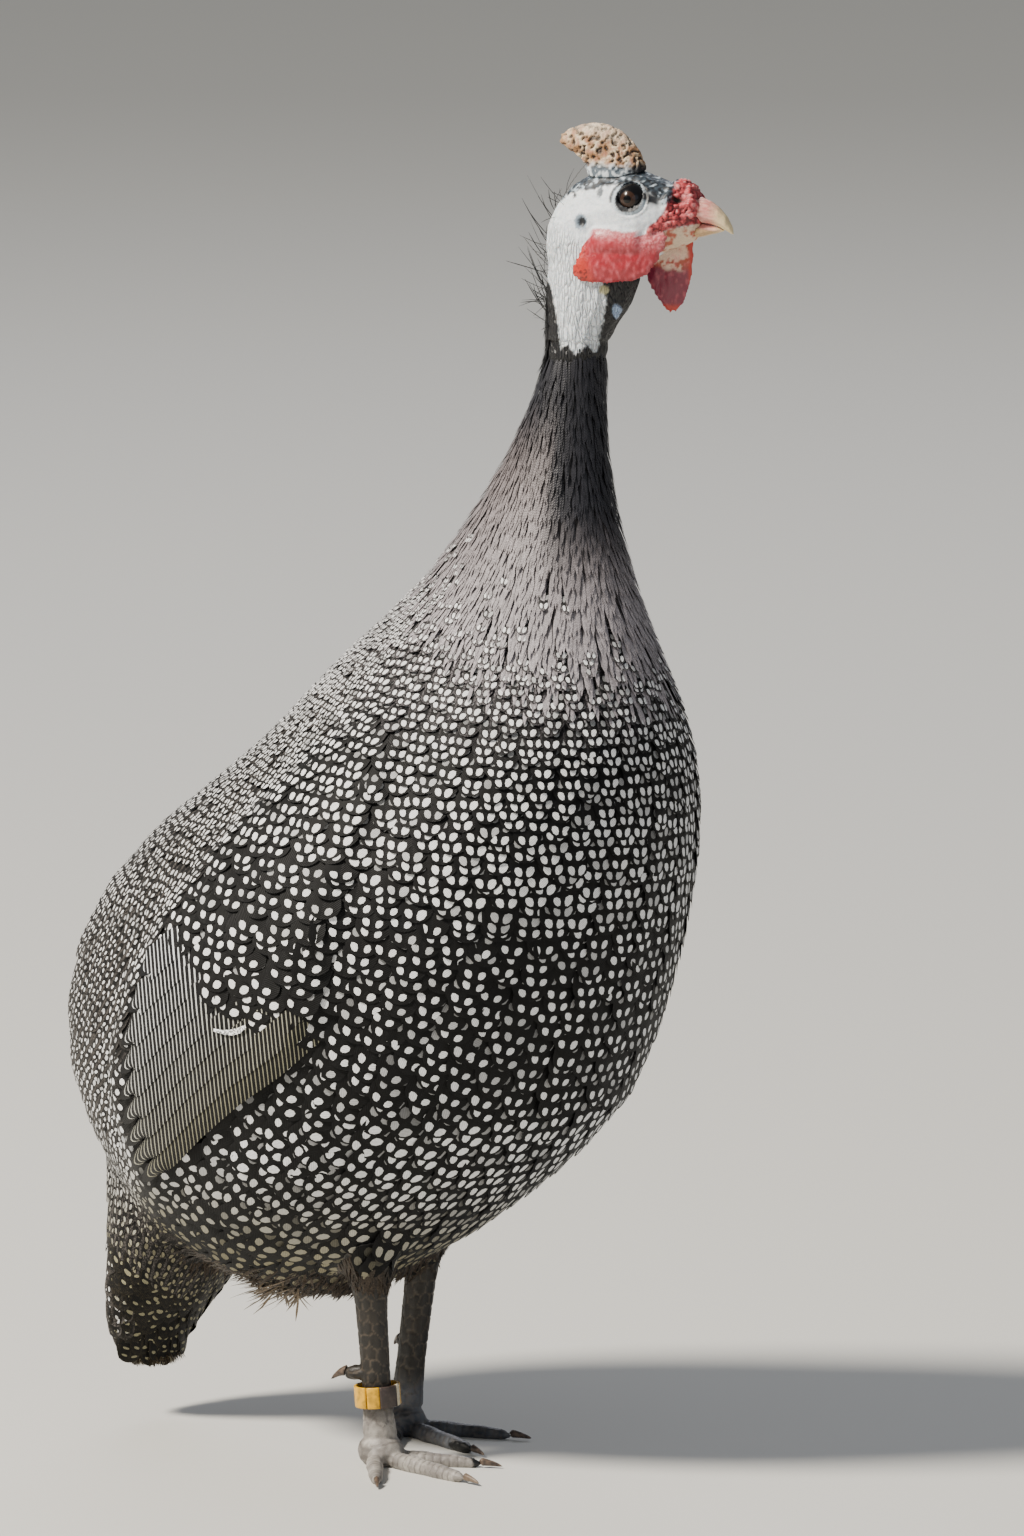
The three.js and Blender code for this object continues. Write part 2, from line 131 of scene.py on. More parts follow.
def mesh_from(name, bm):
    mesh = bpy.data.meshes.new(name)
    bm.to_mesh(mesh)
    bm.free()
    return mesh


def drop(thing):
    mesh = thing.data
    bpy.data.objects.remove(thing)
    bpy.data.meshes.remove(mesh)


def read(part, key, width=1, kind=np.float32):
    """One value, or a row of them, for each item of a part of a mesh."""
    flat = np.empty(len(part) * width, kind)
    part.foreach_get(key, flat)
    return flat.reshape(-1, width) if width > 1 else flat


def fill(part, key, values, kind=np.float32):
    part.foreach_set(key, np.asarray(values).astype(kind).ravel())


def coordinates(mesh):
    return read(mesh.vertices, "co", 3).astype(float)


def vertex_normals(mesh):
    return read(mesh.vertex_normals, "vector", 3).astype(float)


def set_coordinates(mesh, points):
    fill(mesh.vertices, "co", points)
    mesh.update()


def smooth_step(value, low, high):
    t = np.clip((value - low) / (high - low), 0, 1)
    return t * t * (3 - 2 * t)


def unit(vectors):
    return vectors / np.maximum(np.linalg.norm(vectors, axis=-1, keepdims=True), 1e-12)


def noise_at(points, size, seed=0.0):
    """Smooth noise from about -1 to 1 at each point, with lumps of the given size."""
    offset = Vector((seed, seed * 0.7, -seed))
    return np.array([noise.noise(Vector(p) / size + offset) for p in points])


def relax(mesh, rounds, pull=0.5, push=-0.52):
    """Smooths a mesh without shrinking it."""
    a, b = read(mesh.edges, "vertices", 2, np.int32).T
    points = coordinates(mesh)
    count = np.bincount(a, minlength=len(points)) + np.bincount(b, minlength=len(points))
    for _ in range(rounds):
        for factor in (pull, push):
            total = np.empty_like(points)
            for axis in range(3):
                total[:, axis] = np.bincount(a, points[b, axis], len(points))
                total[:, axis] += np.bincount(b, points[a, axis], len(points))
            points += factor * (total / np.maximum(count, 1)[:, None] - points)
    set_coordinates(mesh, points)


def fill_hollows(thing, rounds):
    """Raises the hollows of a form toward a smooth line, and leaves what stands out."""
    mesh = thing.data
    for _ in range(rounds):
        before, normals = coordinates(mesh), vertex_normals(mesh)
        relax(mesh, 2, 0.5, 0.0)
        after = coordinates(mesh)
        rise = np.maximum(np.sum((after - before) * normals, 1), 0)
        set_coordinates(mesh, before + normals * rise[:, None])
    relax(mesh, 3)


def merged(nodes, extra=None, grow=0.0):
    """One bmesh holding copies of CAD nodes with their loose triangles merged."""
    bm = bmesh.new()
    for name in nodes:
        bm.from_mesh(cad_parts[name].data)
    bmesh.ops.remove_doubles(bm, verts=bm.verts, dist=1e-6)
    if grow:
        bm.normal_update()
        for vert in bm.verts:
            vert.co += vert.normal * grow
    if extra:
        bm.from_mesh(extra)
    return bm


def remeshed(name, mesh, voxel, rounds):
    """An even closed skin over all that a mesh holds, smoothed."""
    rough = link(name, mesh)
    modifier = rough.modifiers.new("Even", "REMESH")
    modifier.mode = "VOXEL"
    modifier.voxel_size = voxel
    modifier.use_smooth_shade = True
    graph = bpy.context.evaluated_depsgraph_get()
    even = bpy.data.meshes.new_from_object(rough.evaluated_get(graph))
    drop(rough)
    even.name = name
    relax(even, rounds)
    return link(name, even)


def tree_of(thing):
    return BVHTree.FromObject(thing, bpy.context.evaluated_depsgraph_get())


def finished(thing, replaced=()):
    for polygon in thing.data.polygons:
        polygon.use_smooth = True
    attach(thing, "root")
    if replaced:
        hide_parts(*replaced)
    return thing


# Camera, floor and light

def make_camera():
    toward = Vector(VIEW_TOWARD)
    aim = Vector(VIEW_RIGHT * VIEW_AIM_RIGHT + VIEW_UP * VIEW_AIM_UP + (VIEW_SHIFT_X, 0, 0))
    lens = bpy.data.cameras.new("Camera")
    lens.sensor_width = SENSOR
    lens.lens = SENSOR * VIEW_DISTANCE / VIEW_HEIGHT
    lens.clip_start, lens.clip_end = 0.1, 200
    camera = bpy.data.objects.new("Camera", lens)
    bpy.context.scene.collection.objects.link(camera)
    camera.location = aim + toward * VIEW_DISTANCE
    camera.rotation_mode = "QUATERNION"
    camera.rotation_quaternion = toward.to_track_quat("Z", "Y")
    bpy.context.scene.camera = camera


def add_light(name, place, size, watts, tint):
    lamp = bpy.data.lights.new(name, "AREA")
    lamp.shape = "DISK"
    lamp.size = size
    lamp.energy = watts
    lamp.color = linear(tint)[:3]
    thing = bpy.data.objects.new(name, lamp)
    bpy.context.scene.collection.objects.link(thing)
    thing.location = place
    toward = Vector(place) - Vector((0, 0, 0.28))
    thing.rotation_mode = "QUATERNION"
    thing.rotation_quaternion = toward.to_track_quat("Z", "Y")


def make_stage():
    bm = bmesh.new()
    bmesh.ops.create_circle(bm, cap_ends=True, segments=96, radius=60)
    floor = link("Floor", mesh_from("Floor", bm))
    material, tree = new_material("Pale matt studio floor")
    shader = node(tree, "ShaderNodeBsdfPrincipled", {"Base Color": linear("cfcec9"), "Roughness": 0.85})
    surface(tree, shader)
    floor.data.materials.append(material)
    world = bpy.data.worlds.new("Studio")
    world.use_nodes = True
    world.node_tree.nodes["Background"].inputs["Color"].default_value = linear("dfe3e8")
    world.node_tree.nodes["Background"].inputs["Strength"].default_value = 0.34
    bpy.context.scene.world = world
    add_light("Key", (-1.15, -2.3, 2.9), 0.8, 330, "fff7ea")
    add_light("Fill", (3.0, -1.2, 1.2), 2.2, 9, "dfeaff")
    add_light("Back", (-1.8, 2.4, 2.2), 1.6, 28, "f2f4ff")


make_camera()
make_stage()


# The shapes that the feathers are laid on

def flow(points):
    """Which way feathers lie at each point: down the neck and back, rearwards under the belly."""
    x, _, z = points.T
    rear = smooth_step(-z, -0.27, -0.1)
    tail = smooth_step(-x, 0.07, 0.11) * smooth_step(-z, -0.15, -0.12)
    along = np.stack([-0.95 * rear, 0 * x, -1 + 0.5 * rear], 1)
    to_tail = np.stack([-0.2 + 0 * x, 0 * x, -1 + 0 * x], 1)
    return unit(along * (1 - tail)[:, None] + to_tail * tail[:, None])


def nearest(tree, points):
    found = [tree.find_nearest(Vector(p)) for p in points]
    return np.array([f[0] for f in found]), np.array([f[1] for f in found])


def lay_lines(tree, roots, lengths, twist, steps=4, run=flow, free_below=-1.0):
    """Lines that follow the surface from each root along the lie of the coat. Below a given
    height they leave the surface and run straight on."""
    place, normal = nearest(tree, roots)
    lines, normals = [place], [normal]
    heading = run(place)
    for _ in range(steps):
        turned = run(place)
        turned = unit(turned - normal * np.sum(turned * normal, 1, keepdims=True))
        side = np.cross(normal, turned)
        turned = turned * np.cos(twist)[:, None] + side * np.sin(twist)[:, None]
        free = (place[:, 2] < free_below)[:, None] & (len(lines) > 1)
        heading = np.where(free, heading, turned)
        ahead = place + heading * (lengths / steps)[:, None]
        laid, faced = nearest(tree, ahead)
        place = np.where(free, ahead, laid)
        normal = np.where(free, normal, faced)
        lines.append(place)
        normals.append(normal)
    return np.stack(lines, 1), np.stack(normals, 1)


class Wrap:
    """The plumage surface read as rings: a height and a turn about the body's middle line."""

    def __init__(self, tree, low, high, rings, turns, middle):
        self.heights = np.linspace(low, high, rings)
        self.turns = np.linspace(0, 2 * math.pi, turns, endpoint=False)
        self.middle = middle
        self.points = np.empty((rings, turns, 3))
        for i, height in enumerate(self.heights):
            centre = Vector((middle(height), 0, height))
            for j, turn in enumerate(self.turns):
                way = Vector((math.cos(turn), math.sin(turn), 0))
                hit = tree.ray_cast(centre + way * 0.4, -way)[0]
                self.points[i, j] = hit if hit else centre

    def at(self, height, turn):
        """Points at heights and turns, read between the rings."""
        last = len(self.heights) - 1
        i = np.clip(np.interp(height, self.heights, np.arange(last + 1)), 0, last - 0.001)
        j = np.mod(turn, 2 * math.pi) / (2 * math.pi) * len(self.turns)
        i0, j0 = i.astype(int), j.astype(int) % len(self.turns)
        fi, fj = (i - i0)[:, None], (j - np.floor(j))[:, None]
        j1 = (j0 + 1) % len(self.turns)
        p = self.points
        low = p[i0, j0] * (1 - fj) + p[i0, j1] * fj
        high = p[i0 + 1, j0] * (1 - fj) + p[i0 + 1, j1] * fj
        return low * (1 - fi) + high * fi

    def ring_turns(self, height, count, offset, weight):
        """Turns of evenly spread columns round one ring, closer together where weight is more."""
        turns = np.linspace(0, 2 * math.pi, 361)
        ring = self.at(np.full(361, height), turns)
        step = np.linalg.norm(np.diff(ring, axis=0), axis=1) * weight((turns[:-1] + turns[1:]) / 2)
        run = np.concatenate([[0], np.cumsum(step)])
        wanted = (np.arange(count) + offset) / count * run[-1]
        return np.interp(np.mod(wanted, run[-1]), run, turns)

    def girth(self, height):
        turns = np.linspace(0, 2 * math.pi, 121)
        ring = self.at(np.full(121, height), turns)
        return np.linalg.norm(np.diff(ring, axis=0), axis=1).sum()

    def row_heights(self, pitch, low, high):
        """Heights of rows from high down to low, a pitch apart along the mean side line."""
        heights = np.linspace(high, low, 400)
        fan = np.linspace(0, 2 * math.pi, 24, endpoint=False)
        lines = np.stack([self.at(heights, np.full(400, turn)) for turn in fan])
        step = np.linalg.norm(np.diff(lines, axis=1), axis=2).mean(0)
        step = step / pitch((heights[:-1] + heights[1:]) / 2)
        run = np.concatenate([[0], np.cumsum(step)])
        return np.interp(np.arange(int(run[-1]) + 1), run, heights)


BODY_NODES = ["trunk", "neck_lower", "neck_upper"]
WING_NODES = [f"wing_{part}{side}" for side in SIDES for part in ("", "quills_")]
COAT_NODES = BODY_NODES + WING_NODES + ["tail"]
# How far solids that only touch grow into one another before a skin is drawn over them
OVERLAP = 0.0003
FORM_VOXEL = 0.003


def form(name, nodes, rounds, grow=0.0, voxel=FORM_VOXEL):
    """A smooth closed form over CAD nodes that feathers are laid on, dropped at the end."""
    return remeshed(name, mesh_from(name, merged(nodes, grow=grow)), voxel, rounds)


body_form = form("BodyForm", BODY_NODES, 6)
wing_form = form("WingForm", BODY_NODES + WING_NODES, 22, OVERLAP)
tail_form = form("TailForm", ["tail"], 6)
lay_form = form("LayForm", COAT_NODES + ["thigh_right", "thigh_left"], 22, OVERLAP)
fill_hollows(wing_form, 14)
fill_hollows(lay_form, 14)
head_form = form("HeadForm", ["head", "neck_upper"], 4, voxel=0.002)
forms = (body_form, wing_form, tail_form, lay_form, head_form)
body_tree, wing_tree, tail_tree, coat_tree, head_tree = (tree_of(thing) for thing in forms)


def middle_line(thing):
    """The middle of a form at each height, as a function."""
    points = coordinates(thing.data)
    heights = np.linspace(points[:, 2].min(), points[:, 2].max(), 60)
    reach = (heights[1] - heights[0]) * 1.2
    middles = []
    for height in heights:
        x = points[np.abs(points[:, 2] - height) < reach, 0]
        middles.append((x.min() + x.max()) / 2)
    return lambda z: float(np.interp(z, heights, middles))


# Rings from the belly up to the bare neck, and down the tail
coat_wrap = Wrap(wing_tree, low=0.0635, high=0.464, rings=220, turns=180, middle=middle_line(body_form))
tail_wrap = Wrap(tail_tree, low=0.028, high=0.113, rings=60, turns=90, middle=middle_line(tail_form))


# Feather patterns: one vane each, x across and y from root to tip, both about 1 long

# Corners across a spotted vane: an edge, a spot with its rim, the shaft, and the same again
VANE_ACROSS = np.array([-0.5, -0.31, -0.2, -0.09, 0, 0.09, 0.2, 0.31, 0.5])


def vane_grid(across, along):
    """A flat grid whose corners stand at the given places across and along."""
    bm = bmesh.new()
    bmesh.ops.create_grid(bm, x_segments=len(across) - 1, y_segments=len(along) - 1, size=0.5)
    grid = {}
    for vert in bm.verts:
        i = round((vert.co.x + 0.5) * (len(across) - 1))
        j = round((vert.co.y + 0.5) * (len(along) - 1))
        vert.co = (across[i], along[j], 0)
        grid[i, j] = vert
    return bm, grid


def outline(points, shoulder, tip_width, tip_bow):
    """Narrows a vane to its root and rounds its tip."""
    x, y = points[:, 0], points[:, 1]
    tip = np.clip((y - 0.7) / 0.3, 0, 1) ** 3
    width = (0.5 + 0.5 * smooth_step(y, 0, shoulder)) * (1 - (1 - tip_width) * tip)
    return np.stack([x * width, y - tip_bow * (2 * x) ** 2 * np.clip(y, 0.2, 1), points[:, 2]], 1)


NEAR = (-1, 0, 1)


def pattern_from(bm, grid, spots):
    """Reads a vane's grid as arrays: its corners and faces, and which of them are spot or rim."""
    bm.verts.index_update()
    marked = {(i + di, j + dj) for i, j in spots for di in (-1, 0) for dj in (-1, 0)}
    rims = {(i + di, j + dj) for i, j in spots for di in NEAR for dj in NEAR}
    index = {vert.index: key for key, vert in grid.items()}
    faces = [[vert.index for vert in face.verts] for face in bm.faces]
    lowest = [tuple(min(index[c][axis] for c in face) for axis in (0, 1)) for face in faces]
    places = np.array([vert.co for vert in bm.verts])
    rim = np.array([index[vert.index] in rims for vert in bm.verts], float)
    bm.free()
    return {"places": places, "faces": np.array(faces), "rim": rim, "dim": np.ones(len(faces)),
            "spot": np.array([low in marked for low in lowest])}


def spotted_vane(rows, radius, tall, uneven=0.1, tip_width=0.66, tip_bow=0.08, chance=1.0, dim=1.0):
    """A vane with two round spots side by side at each of the given distances along it. The last
    pair is the bright one; those that the next feathers half cover are dimmer."""
    along = [0.0, *(row + step for row in rows for step in (-tall, 0, tall)), 1.0]
    bm, grid = vane_grid(VANE_ACROSS, along)
    spots = []
    for k in range(len(rows)):
        for i in (2, 6):
            if random.random() > chance:
                continue
            j = 2 + 3 * k
            size = 1 + uneven * random.uniform(-1, 1)
            shift = np.array([random.uniform(-0.012, 0.012), random.uniform(-0.012, 0.012)])
            centre = np.array(grid[i, j].co[:2]) + shift
            spots.append((i, j))
            for di in NEAR:
                for dj in NEAR:
                    # The corners of the square draw in to make it round
                    reach = size * (0.76 if di and dj else 1.0)
                    grid[i + di, j + dj].co = (centre[0] + di * radius * reach,
                                               centre[1] + dj * tall * reach * 0.96, 0)
    pattern = pattern_from(bm, grid, spots)
    if dim < 1:
        middle = pattern["places"][pattern["faces"], 1].mean(1)
        pattern["dim"] = np.where(middle < rows[-1] - 1.5 * tall, dim, 1.0)
    pattern["places"] = outline(pattern["places"], 0.4, tip_width, tip_bow)
    return pattern


def plain_vane(columns, rows, tip_width, tip_bow):
    bm, grid = vane_grid(np.linspace(-0.5, 0.5, columns), np.linspace(0, 1, rows))
    pattern = pattern_from(bm, grid, [])
    pattern["places"] = outline(pattern["places"], 0.5, tip_width, tip_bow)
    return pattern


# Each feather's patch on the unwrap of the skin
PATCH = 0.0035


def build_coat(name, batches, materials, replaced=()):
    """Joins feathers into one piece. Each batch has a pattern and, for every feather, its corners,
    ground and spot colour, size in millimetres and place on the unwrap of the skin."""
    corners, colours, faces, slots, rims, vanes, bakes = [], [], [], [], [], [], []
    start = 0
    for pattern, places, ground, spot, sizes, unwrap in batches:
        count, each = places.shape[:2]
        quads = pattern["faces"]
        corners.append(places.reshape(-1, 3))
        shifts = (start + np.arange(count) * each)[:, None, None]
        faces.append((quads[None] + shifts).reshape(-1, 4))
        start += count * each
        slots.append(np.tile(pattern["spot"], count))
        rims.append(np.tile(pattern["rim"], count))
        is_spot = pattern["spot"][None, :, None, None]
        dimmed = spot[:, None, None, :] * pattern["dim"][None, :, None, None]
        both = np.where(is_spot, dimmed, ground[:, None, None, :])
        colours.append(np.broadcast_to(both, (count, len(quads), 4, 3)).reshape(-1, 3))
        flat = pattern["places"][:, :2]
        vanes.append((flat[None] * sizes[:, None, :])[:, quads].reshape(-1, 2))
        # Grounds bake in the left half of the map and spots in the right
        patch = (unwrap[:, None, :] * (0.5, 1) + (flat - (0, 0.5)) * PATCH)[:, quads]
        patch[..., 0] += 0.5 * pattern["spot"][None, :, None]
        bakes.append(patch.reshape(-1, 2))
    corners, faces = np.concatenate(corners), np.concatenate(faces)
    mesh = bpy.data.meshes.new(name)
    mesh.vertices.add(len(corners))
    fill(mesh.vertices, "co", corners)
    mesh.loops.add(faces.size)
    fill(mesh.loops, "vertex_index", faces, np.int32)
    mesh.polygons.add(len(faces))
    fill(mesh.polygons, "loop_start", np.arange(0, faces.size, 4), np.int32)
    fill(mesh.polygons, "material_index", np.concatenate(slots), np.int32)
    mesh.update(calc_edges=True)
    for material in materials:
        mesh.materials.append(material)
    colour = np.concatenate(colours)
    paint = mesh.color_attributes.new("Plume", "FLOAT_COLOR", "CORNER")
    fill(paint.data, "color", np.column_stack([colour, np.ones(len(colour))]))
    fill(mesh.attributes.new("Rim", "FLOAT", "POINT").data, "value", np.concatenate(rims))
    for map_name, values in (("OFBake", bakes), ("Vane", vanes)):
        fill(mesh.uv_layers.new(name=map_name).data, "uv", np.concatenate(values))
    return finished(link(name, mesh), replaced)


def laid(pattern, lines, normals, width, length, ground, spot, unwrap, sink=0, lift=0, cup=0, roll=0):
    """A batch of feathers laid along lines: their roots sink under the coat, their tips lie on it."""
    x, y = pattern["places"][:, 0], pattern["places"][:, 1]
    sink, lift, cup, width = (np.zeros(len(lines)) + part for part in (sink, lift, cup, width))
    steps = lines.shape[1] - 1
    spot_step = np.clip(y, 0, 0.9999) * steps
    low = spot_step.astype(int)
    part = (spot_step - low)[None, :, None]
    along = lines[:, low] * (1 - part) + lines[:, low + 1] * part
    ahead = lines[:, low + 1] - lines[:, low]
    along = along + ahead * steps * (y - np.clip(y, 0, 1))[None, :, None]
    up = unit(normals[:, low] * (1 - part) + normals[:, low + 1] * part)
    side = unit(np.cross(ahead, up))
    rise = lift[:, None] * y - sink[:, None] * np.clip(1 - y, 0, 1) ** 1.3
    rise = rise + roll * x - cup[:, None] * (2 * x) ** 2
    corners = along + side * (x * width[:, None])[..., None] + up * rise[..., None]
    return pattern, corners, ground, spot, np.column_stack([width, length]) / MM, unwrap


# Where each kind of plumage lies. Turn 0 is the breast and a half turn is the back.

def back_share(turn):
    return smooth_step(np.abs(np.mod(turn, 2 * math.pi) - math.pi), 1.25, 0.75)


def spots_top(turn):
    """The height where spotted feathers start below the plain neck."""
    return 0.332 + 0.036 * (0.5 - 0.5 * np.cos(turn))


BLACK = rgb("070708")
NECK_BLACK = rgb("24242a")
NECK_BROWN = rgb("756d6e")
NECK_GREY = rgb("9b9599")
BACK_GREY = rgb("484441")
WHITE = rgb("f4f5f6")
# Spots low on the belly: yellowish, and darkened as painted shade
BELLY_SPOT_YELLOW_AND_SHADED = rgb("8f8970")


def coat_colour(points, turn):
    """The ground colour of the plumage at points, and the colour of its spots."""
    z = points[:, 2]
    back = back_share(turn)[:, None]
    high = smooth_step(z, 0.3, 0.35)[:, None]
    ground = BLACK * (1 - 0.8 * back) + BACK_GREY * 0.8 * back
    ground = ground * (1 - 0.4 * high) + NECK_GREY * 0.4 * high
    spot = WHITE * (1 - 0.1 * back)
    # Low on the belly the spots turn yellowish and darker; the darkening is painted shade
    low = smooth_step(-z, -0.14, -0.085)[:, None]
    return ground, spot * (1 - low) + BELLY_SPOT_YELLOW_AND_SHADED * low


def neck_colour(points, turn):
    """Grey-mauve low on the neck, browner up it and nearly black at the top and front."""
    z = points[:, 2]
    front = smooth_step(np.cos(turn + 0.25), 0.55, 0.95)
    top = smooth_step(z + 0.042 * front, 0.4, 0.442)[:, None]
    middle = smooth_step(z, 0.34, 0.42)[:, None]
    colour = NECK_GREY * (1 - middle) + NECK_BROWN * middle
    return colour * (1 - top) + NECK_BLACK * top


# How many uneven versions of each vane are made
VARIANTS = 4


def unwrap_of(height, turn):
    return np.column_stack([0.01 + 0.97 * np.mod(turn, 2 * math.pi) / (2 * math.pi), 0.03 + height / 0.56])


# In millimetres along a feather
BARB_PITCH = 1.0


def vane_material(name, ring_depth, pepper, roughness, streak, specular=0.2):
    """Feather vane: a woven sheet of barbs, so it is soft and matt with fine slanting lines."""
    material, tree = new_material(name)
    paint = node(tree, "ShaderNodeAttribute", attribute_name="Plume")
    rim = node(tree, "ShaderNodeAttribute", attribute_name="Rim")
    vane = node(tree, "ShaderNodeUVMap", uv_map="Vane")
    parts = node(tree, "ShaderNodeSeparateXYZ", {0: vane.outputs[0]})
    out = node(tree, "ShaderNodeMath", {0: parts.outputs[0]}, operation="ABSOLUTE")
    slant = node(tree, "ShaderNodeMath", {0: parts.outputs[1], 1: out.outputs[0]}, operation="ADD")
    # Barbs stand about 1 mm apart, coarser than life so that they show
    turns = {0: slant.outputs[0], 1: 2 * math.pi / BARB_PITCH}
    phase = node(tree, "ShaderNodeMath", turns, operation="MULTIPLY")
    barb = node(tree, "ShaderNodeMath", {0: phase.outputs[0]}, operation="SINE")
    place = node(tree, "ShaderNodeTexCoord")
    # Flecks under 1 mm across, as where barbs part
    fleck = node(tree, "ShaderNodeTexNoise",
                 {"Vector": place.outputs["Object"], "Scale": 1400, "Detail": 1})
    level = node(tree, "ShaderNodeMapRange",
                 {"Value": fleck.outputs["Fac"], "From Min": 0.42, "From Max": 0.6,
                  "To Min": 1 - pepper, "To Max": 1 + pepper * 0.8})
    lined = node(tree, "ShaderNodeMapRange",
                 {"Value": barb.outputs[0], "From Min": -1, "From Max": -0.2,
                  "To Min": 1 - streak, "To Max": 1})
    ring = node(tree, "ShaderNodeMapRange",
                {"Value": rim.outputs["Fac"], "From Min": 0.25, "From Max": 0.75,
                 "To Min": 1, "To Max": 1 - ring_depth})
    tone = node(tree, "ShaderNodeMath", {0: level.outputs[0], 1: lined.outputs[0]}, operation="MULTIPLY")
    tone = node(tree, "ShaderNodeMath", {0: tone.outputs[0], 1: ring.outputs[0]}, operation="MULTIPLY")
    tinted = node(tree, "ShaderNodeVectorMath", {0: paint.outputs["Color"], "Scale": tone.outputs[0]},
                  operation="SCALE")
    shader = node(tree, "ShaderNodeBsdfPrincipled",
                  {"Base Color": tinted.outputs[0], "Roughness": roughness, "Specular IOR Level": specular,
                   "Sheen Weight": 0.04, "Sheen Roughness": 0.5})
    surface(tree, shader, barb.outputs[0], 0.25, 0.0002)
    return material


# Black round each spot, and flecked where barbs part, so that the ground is never a flat colour
vane_dark = vane_material("Dark feather vane, matt", ring_depth=0.93, pepper=0.75, roughness=0.62,
                          streak=0.3)
# Clean white, with the grey lines of its barbs
vane_white = vane_material("White feather spot, matt", ring_depth=0.0, pepper=0.06, roughness=0.62,
                           streak=0.36)
# Narrow and loose, so that it shines a little along the neck
neck_vane = vane_material("Hair-like neck feather, silky", ring_depth=0.0, pepper=0.2, roughness=0.46,
                          streak=0.3, specular=0.32)


# How many columns of feathers run down the body, and how wide they are where it narrows below
COLUMNS = 62
LOW_COLUMN = 0.0115


def row_pitch(z):
    return np.interp(z, [0.13, 0.24, 0.3, 0.34], [0.0064, 0.0057, 0.0047, 0.0036])


def spotted_rows():
    """Roots of the spotted feathers: height, turn and the pitches along and across."""
    heights, turns, pitches, widths = [], [], [], []

    def crowd(turn):
        return 1 + 0.7 * back_share(turn) + 0.12 * smooth_step(np.cos(turn), 0.2, 0.8)

    for k, height in enumerate(coat_wrap.row_heights(row_pitch, 0.0645, 0.385)):
        girth = coat_wrap.girth(height)
        count = COLUMNS if height > 0.11 else max(8, round(girth / LOW_COLUMN))
        turn = coat_wrap.ring_turns(height, count, 0.25 * (k % 2), crowd)
        heights.append(np.full(count, height))
        turns.append(turn)
        widths.append(girth / count / crowd(turn) * 1.22)
        pitches.append(np.full(count, row_pitch(height)))
    return [np.concatenate(part) for part in (heights, turns, pitches, widths)]


# The folded wing seen from its side, in metres: its long quills run along QUILL_RUN from the lower
# front corner, and their bars cross them at a slant
QUILL_CORNER = np.array([0.0276, 0.1784])
QUILL_RUN = np.array([-0.796, -0.606])
QUILL_RISE = np.array([-0.606, 0.796])
# The bars' lean across the quills and their distance along them
BAR_SLANT = 0.483
BAR_PITCH = 0.0030
# How far along the wing the bare quills start and end, at each rise above the lowest one
QUILL_RISES = np.array([-4, 0, 8, 12.5, 20, 30, 37, 47, 57, 67, 75.5]) * MM
QUILL_STARTS = np.array([-14, -19, -24, -12, 9, 31, 36, 37, 40, 43, 46]) * MM
QUILL_ENDS = np.array([104, 108, 112, 112, 109, 105, 100, 92, 81, 62, 46.5]) * MM
# The quills droop a little toward their roots
DROOP_AT = np.array([-30, 0, 31, 62]) * MM
DROOP = np.array([-9, -6.5, -2, 0]) * MM


def front_quarter(points):
    """Places as seen from the viewing angle on the bird's right, the left side mirrored."""
    near = np.column_stack([points[:, 0], -np.abs(points[:, 1]), points[:, 2]])
    return near @ np.column_stack([VIEW_RIGHT, VIEW_UP])


def cast(tree, starts, way, spares):
    """Where a ray from each start meets a surface, or else its nearest place to a spare point."""
    found = []
    for start, spare in zip(starts, spares):
        hit = tree.ray_cast(Vector(start), Vector(way))
        if hit[0] is None:
            hit = tree.find_nearest(Vector(spare))
        found.append(hit)
    return np.array([f[0] for f in found]), np.array([f[1] for f in found])


def quill_map():
    """The flat map from places along and above the quills to the front quarter view."""
    spread = np.meshgrid(np.linspace(0.03, 0.1, 9), np.linspace(0.02, 0.06, 6))
    along, above = (grid.ravel() for grid in spread)
    flat = QUILL_CORNER + along[:, None] * QUILL_RUN + above[:, None] * QUILL_RISE
    starts = np.column_stack([flat[:, 0], np.full(len(flat), -0.2), flat[:, 1]])
    points, _ = cast(wing_tree, starts, (0, 1, 0), starts * (1, 0.45, 1))
    known = np.column_stack([along, above, np.ones(len(along))])
    return np.linalg.lstsq(known, front_quarter(points), rcond=None)[0]


def wing_places(points):
    """How far points lie along the quills and above the wing's lower edge."""
    flat = (front_quarter(points) - QUILL_MAP[2]) @ np.linalg.inv(QUILL_MAP[:2])
    return flat[:, 0], flat[:, 1] - np.interp(flat[:, 0], DROOP_AT, DROOP)


def on_wing_at(along, above, side):
    """The wing's surface at places along and above the quills, seen from the front quarter."""
    above = above + np.interp(along, DROOP_AT, DROOP)
    flat = np.column_stack([along, above, np.ones(len(along))]) @ QUILL_MAP
    mirror = np.array([1, -side, 1])
    toward = VIEW_TOWARD * mirror
    places = (flat[:, :1] * VIEW_RIGHT + flat[:, 1:] * VIEW_UP) * mirror
    return cast(wing_tree, places + toward * 0.5, -toward, places)


QUILL_MAP = quill_map()


def in_quills(points, margin=0.0):
    """Whether points lie on the bare part of the quills of either wing."""
    along, above = wing_places(points)
    start = np.interp(above, QUILL_RISES, QUILL_STARTS) - margin
    end = np.interp(above, QUILL_RISES, QUILL_ENDS) + margin
    inside = (above > QUILL_RISES[0] - margin) & (above < QUILL_RISES[-1] + margin)
    return inside & (along > start) & (along < end) & (np.abs(points[:, 1]) > 0.045)


# How long a spotted feather is for each step between rows, and which kind of spots the back has
FEATHER_REACH = 3.4
BACK_KIND = 3


def picked(pick, *parts):
    return [part[pick] for part in parts]


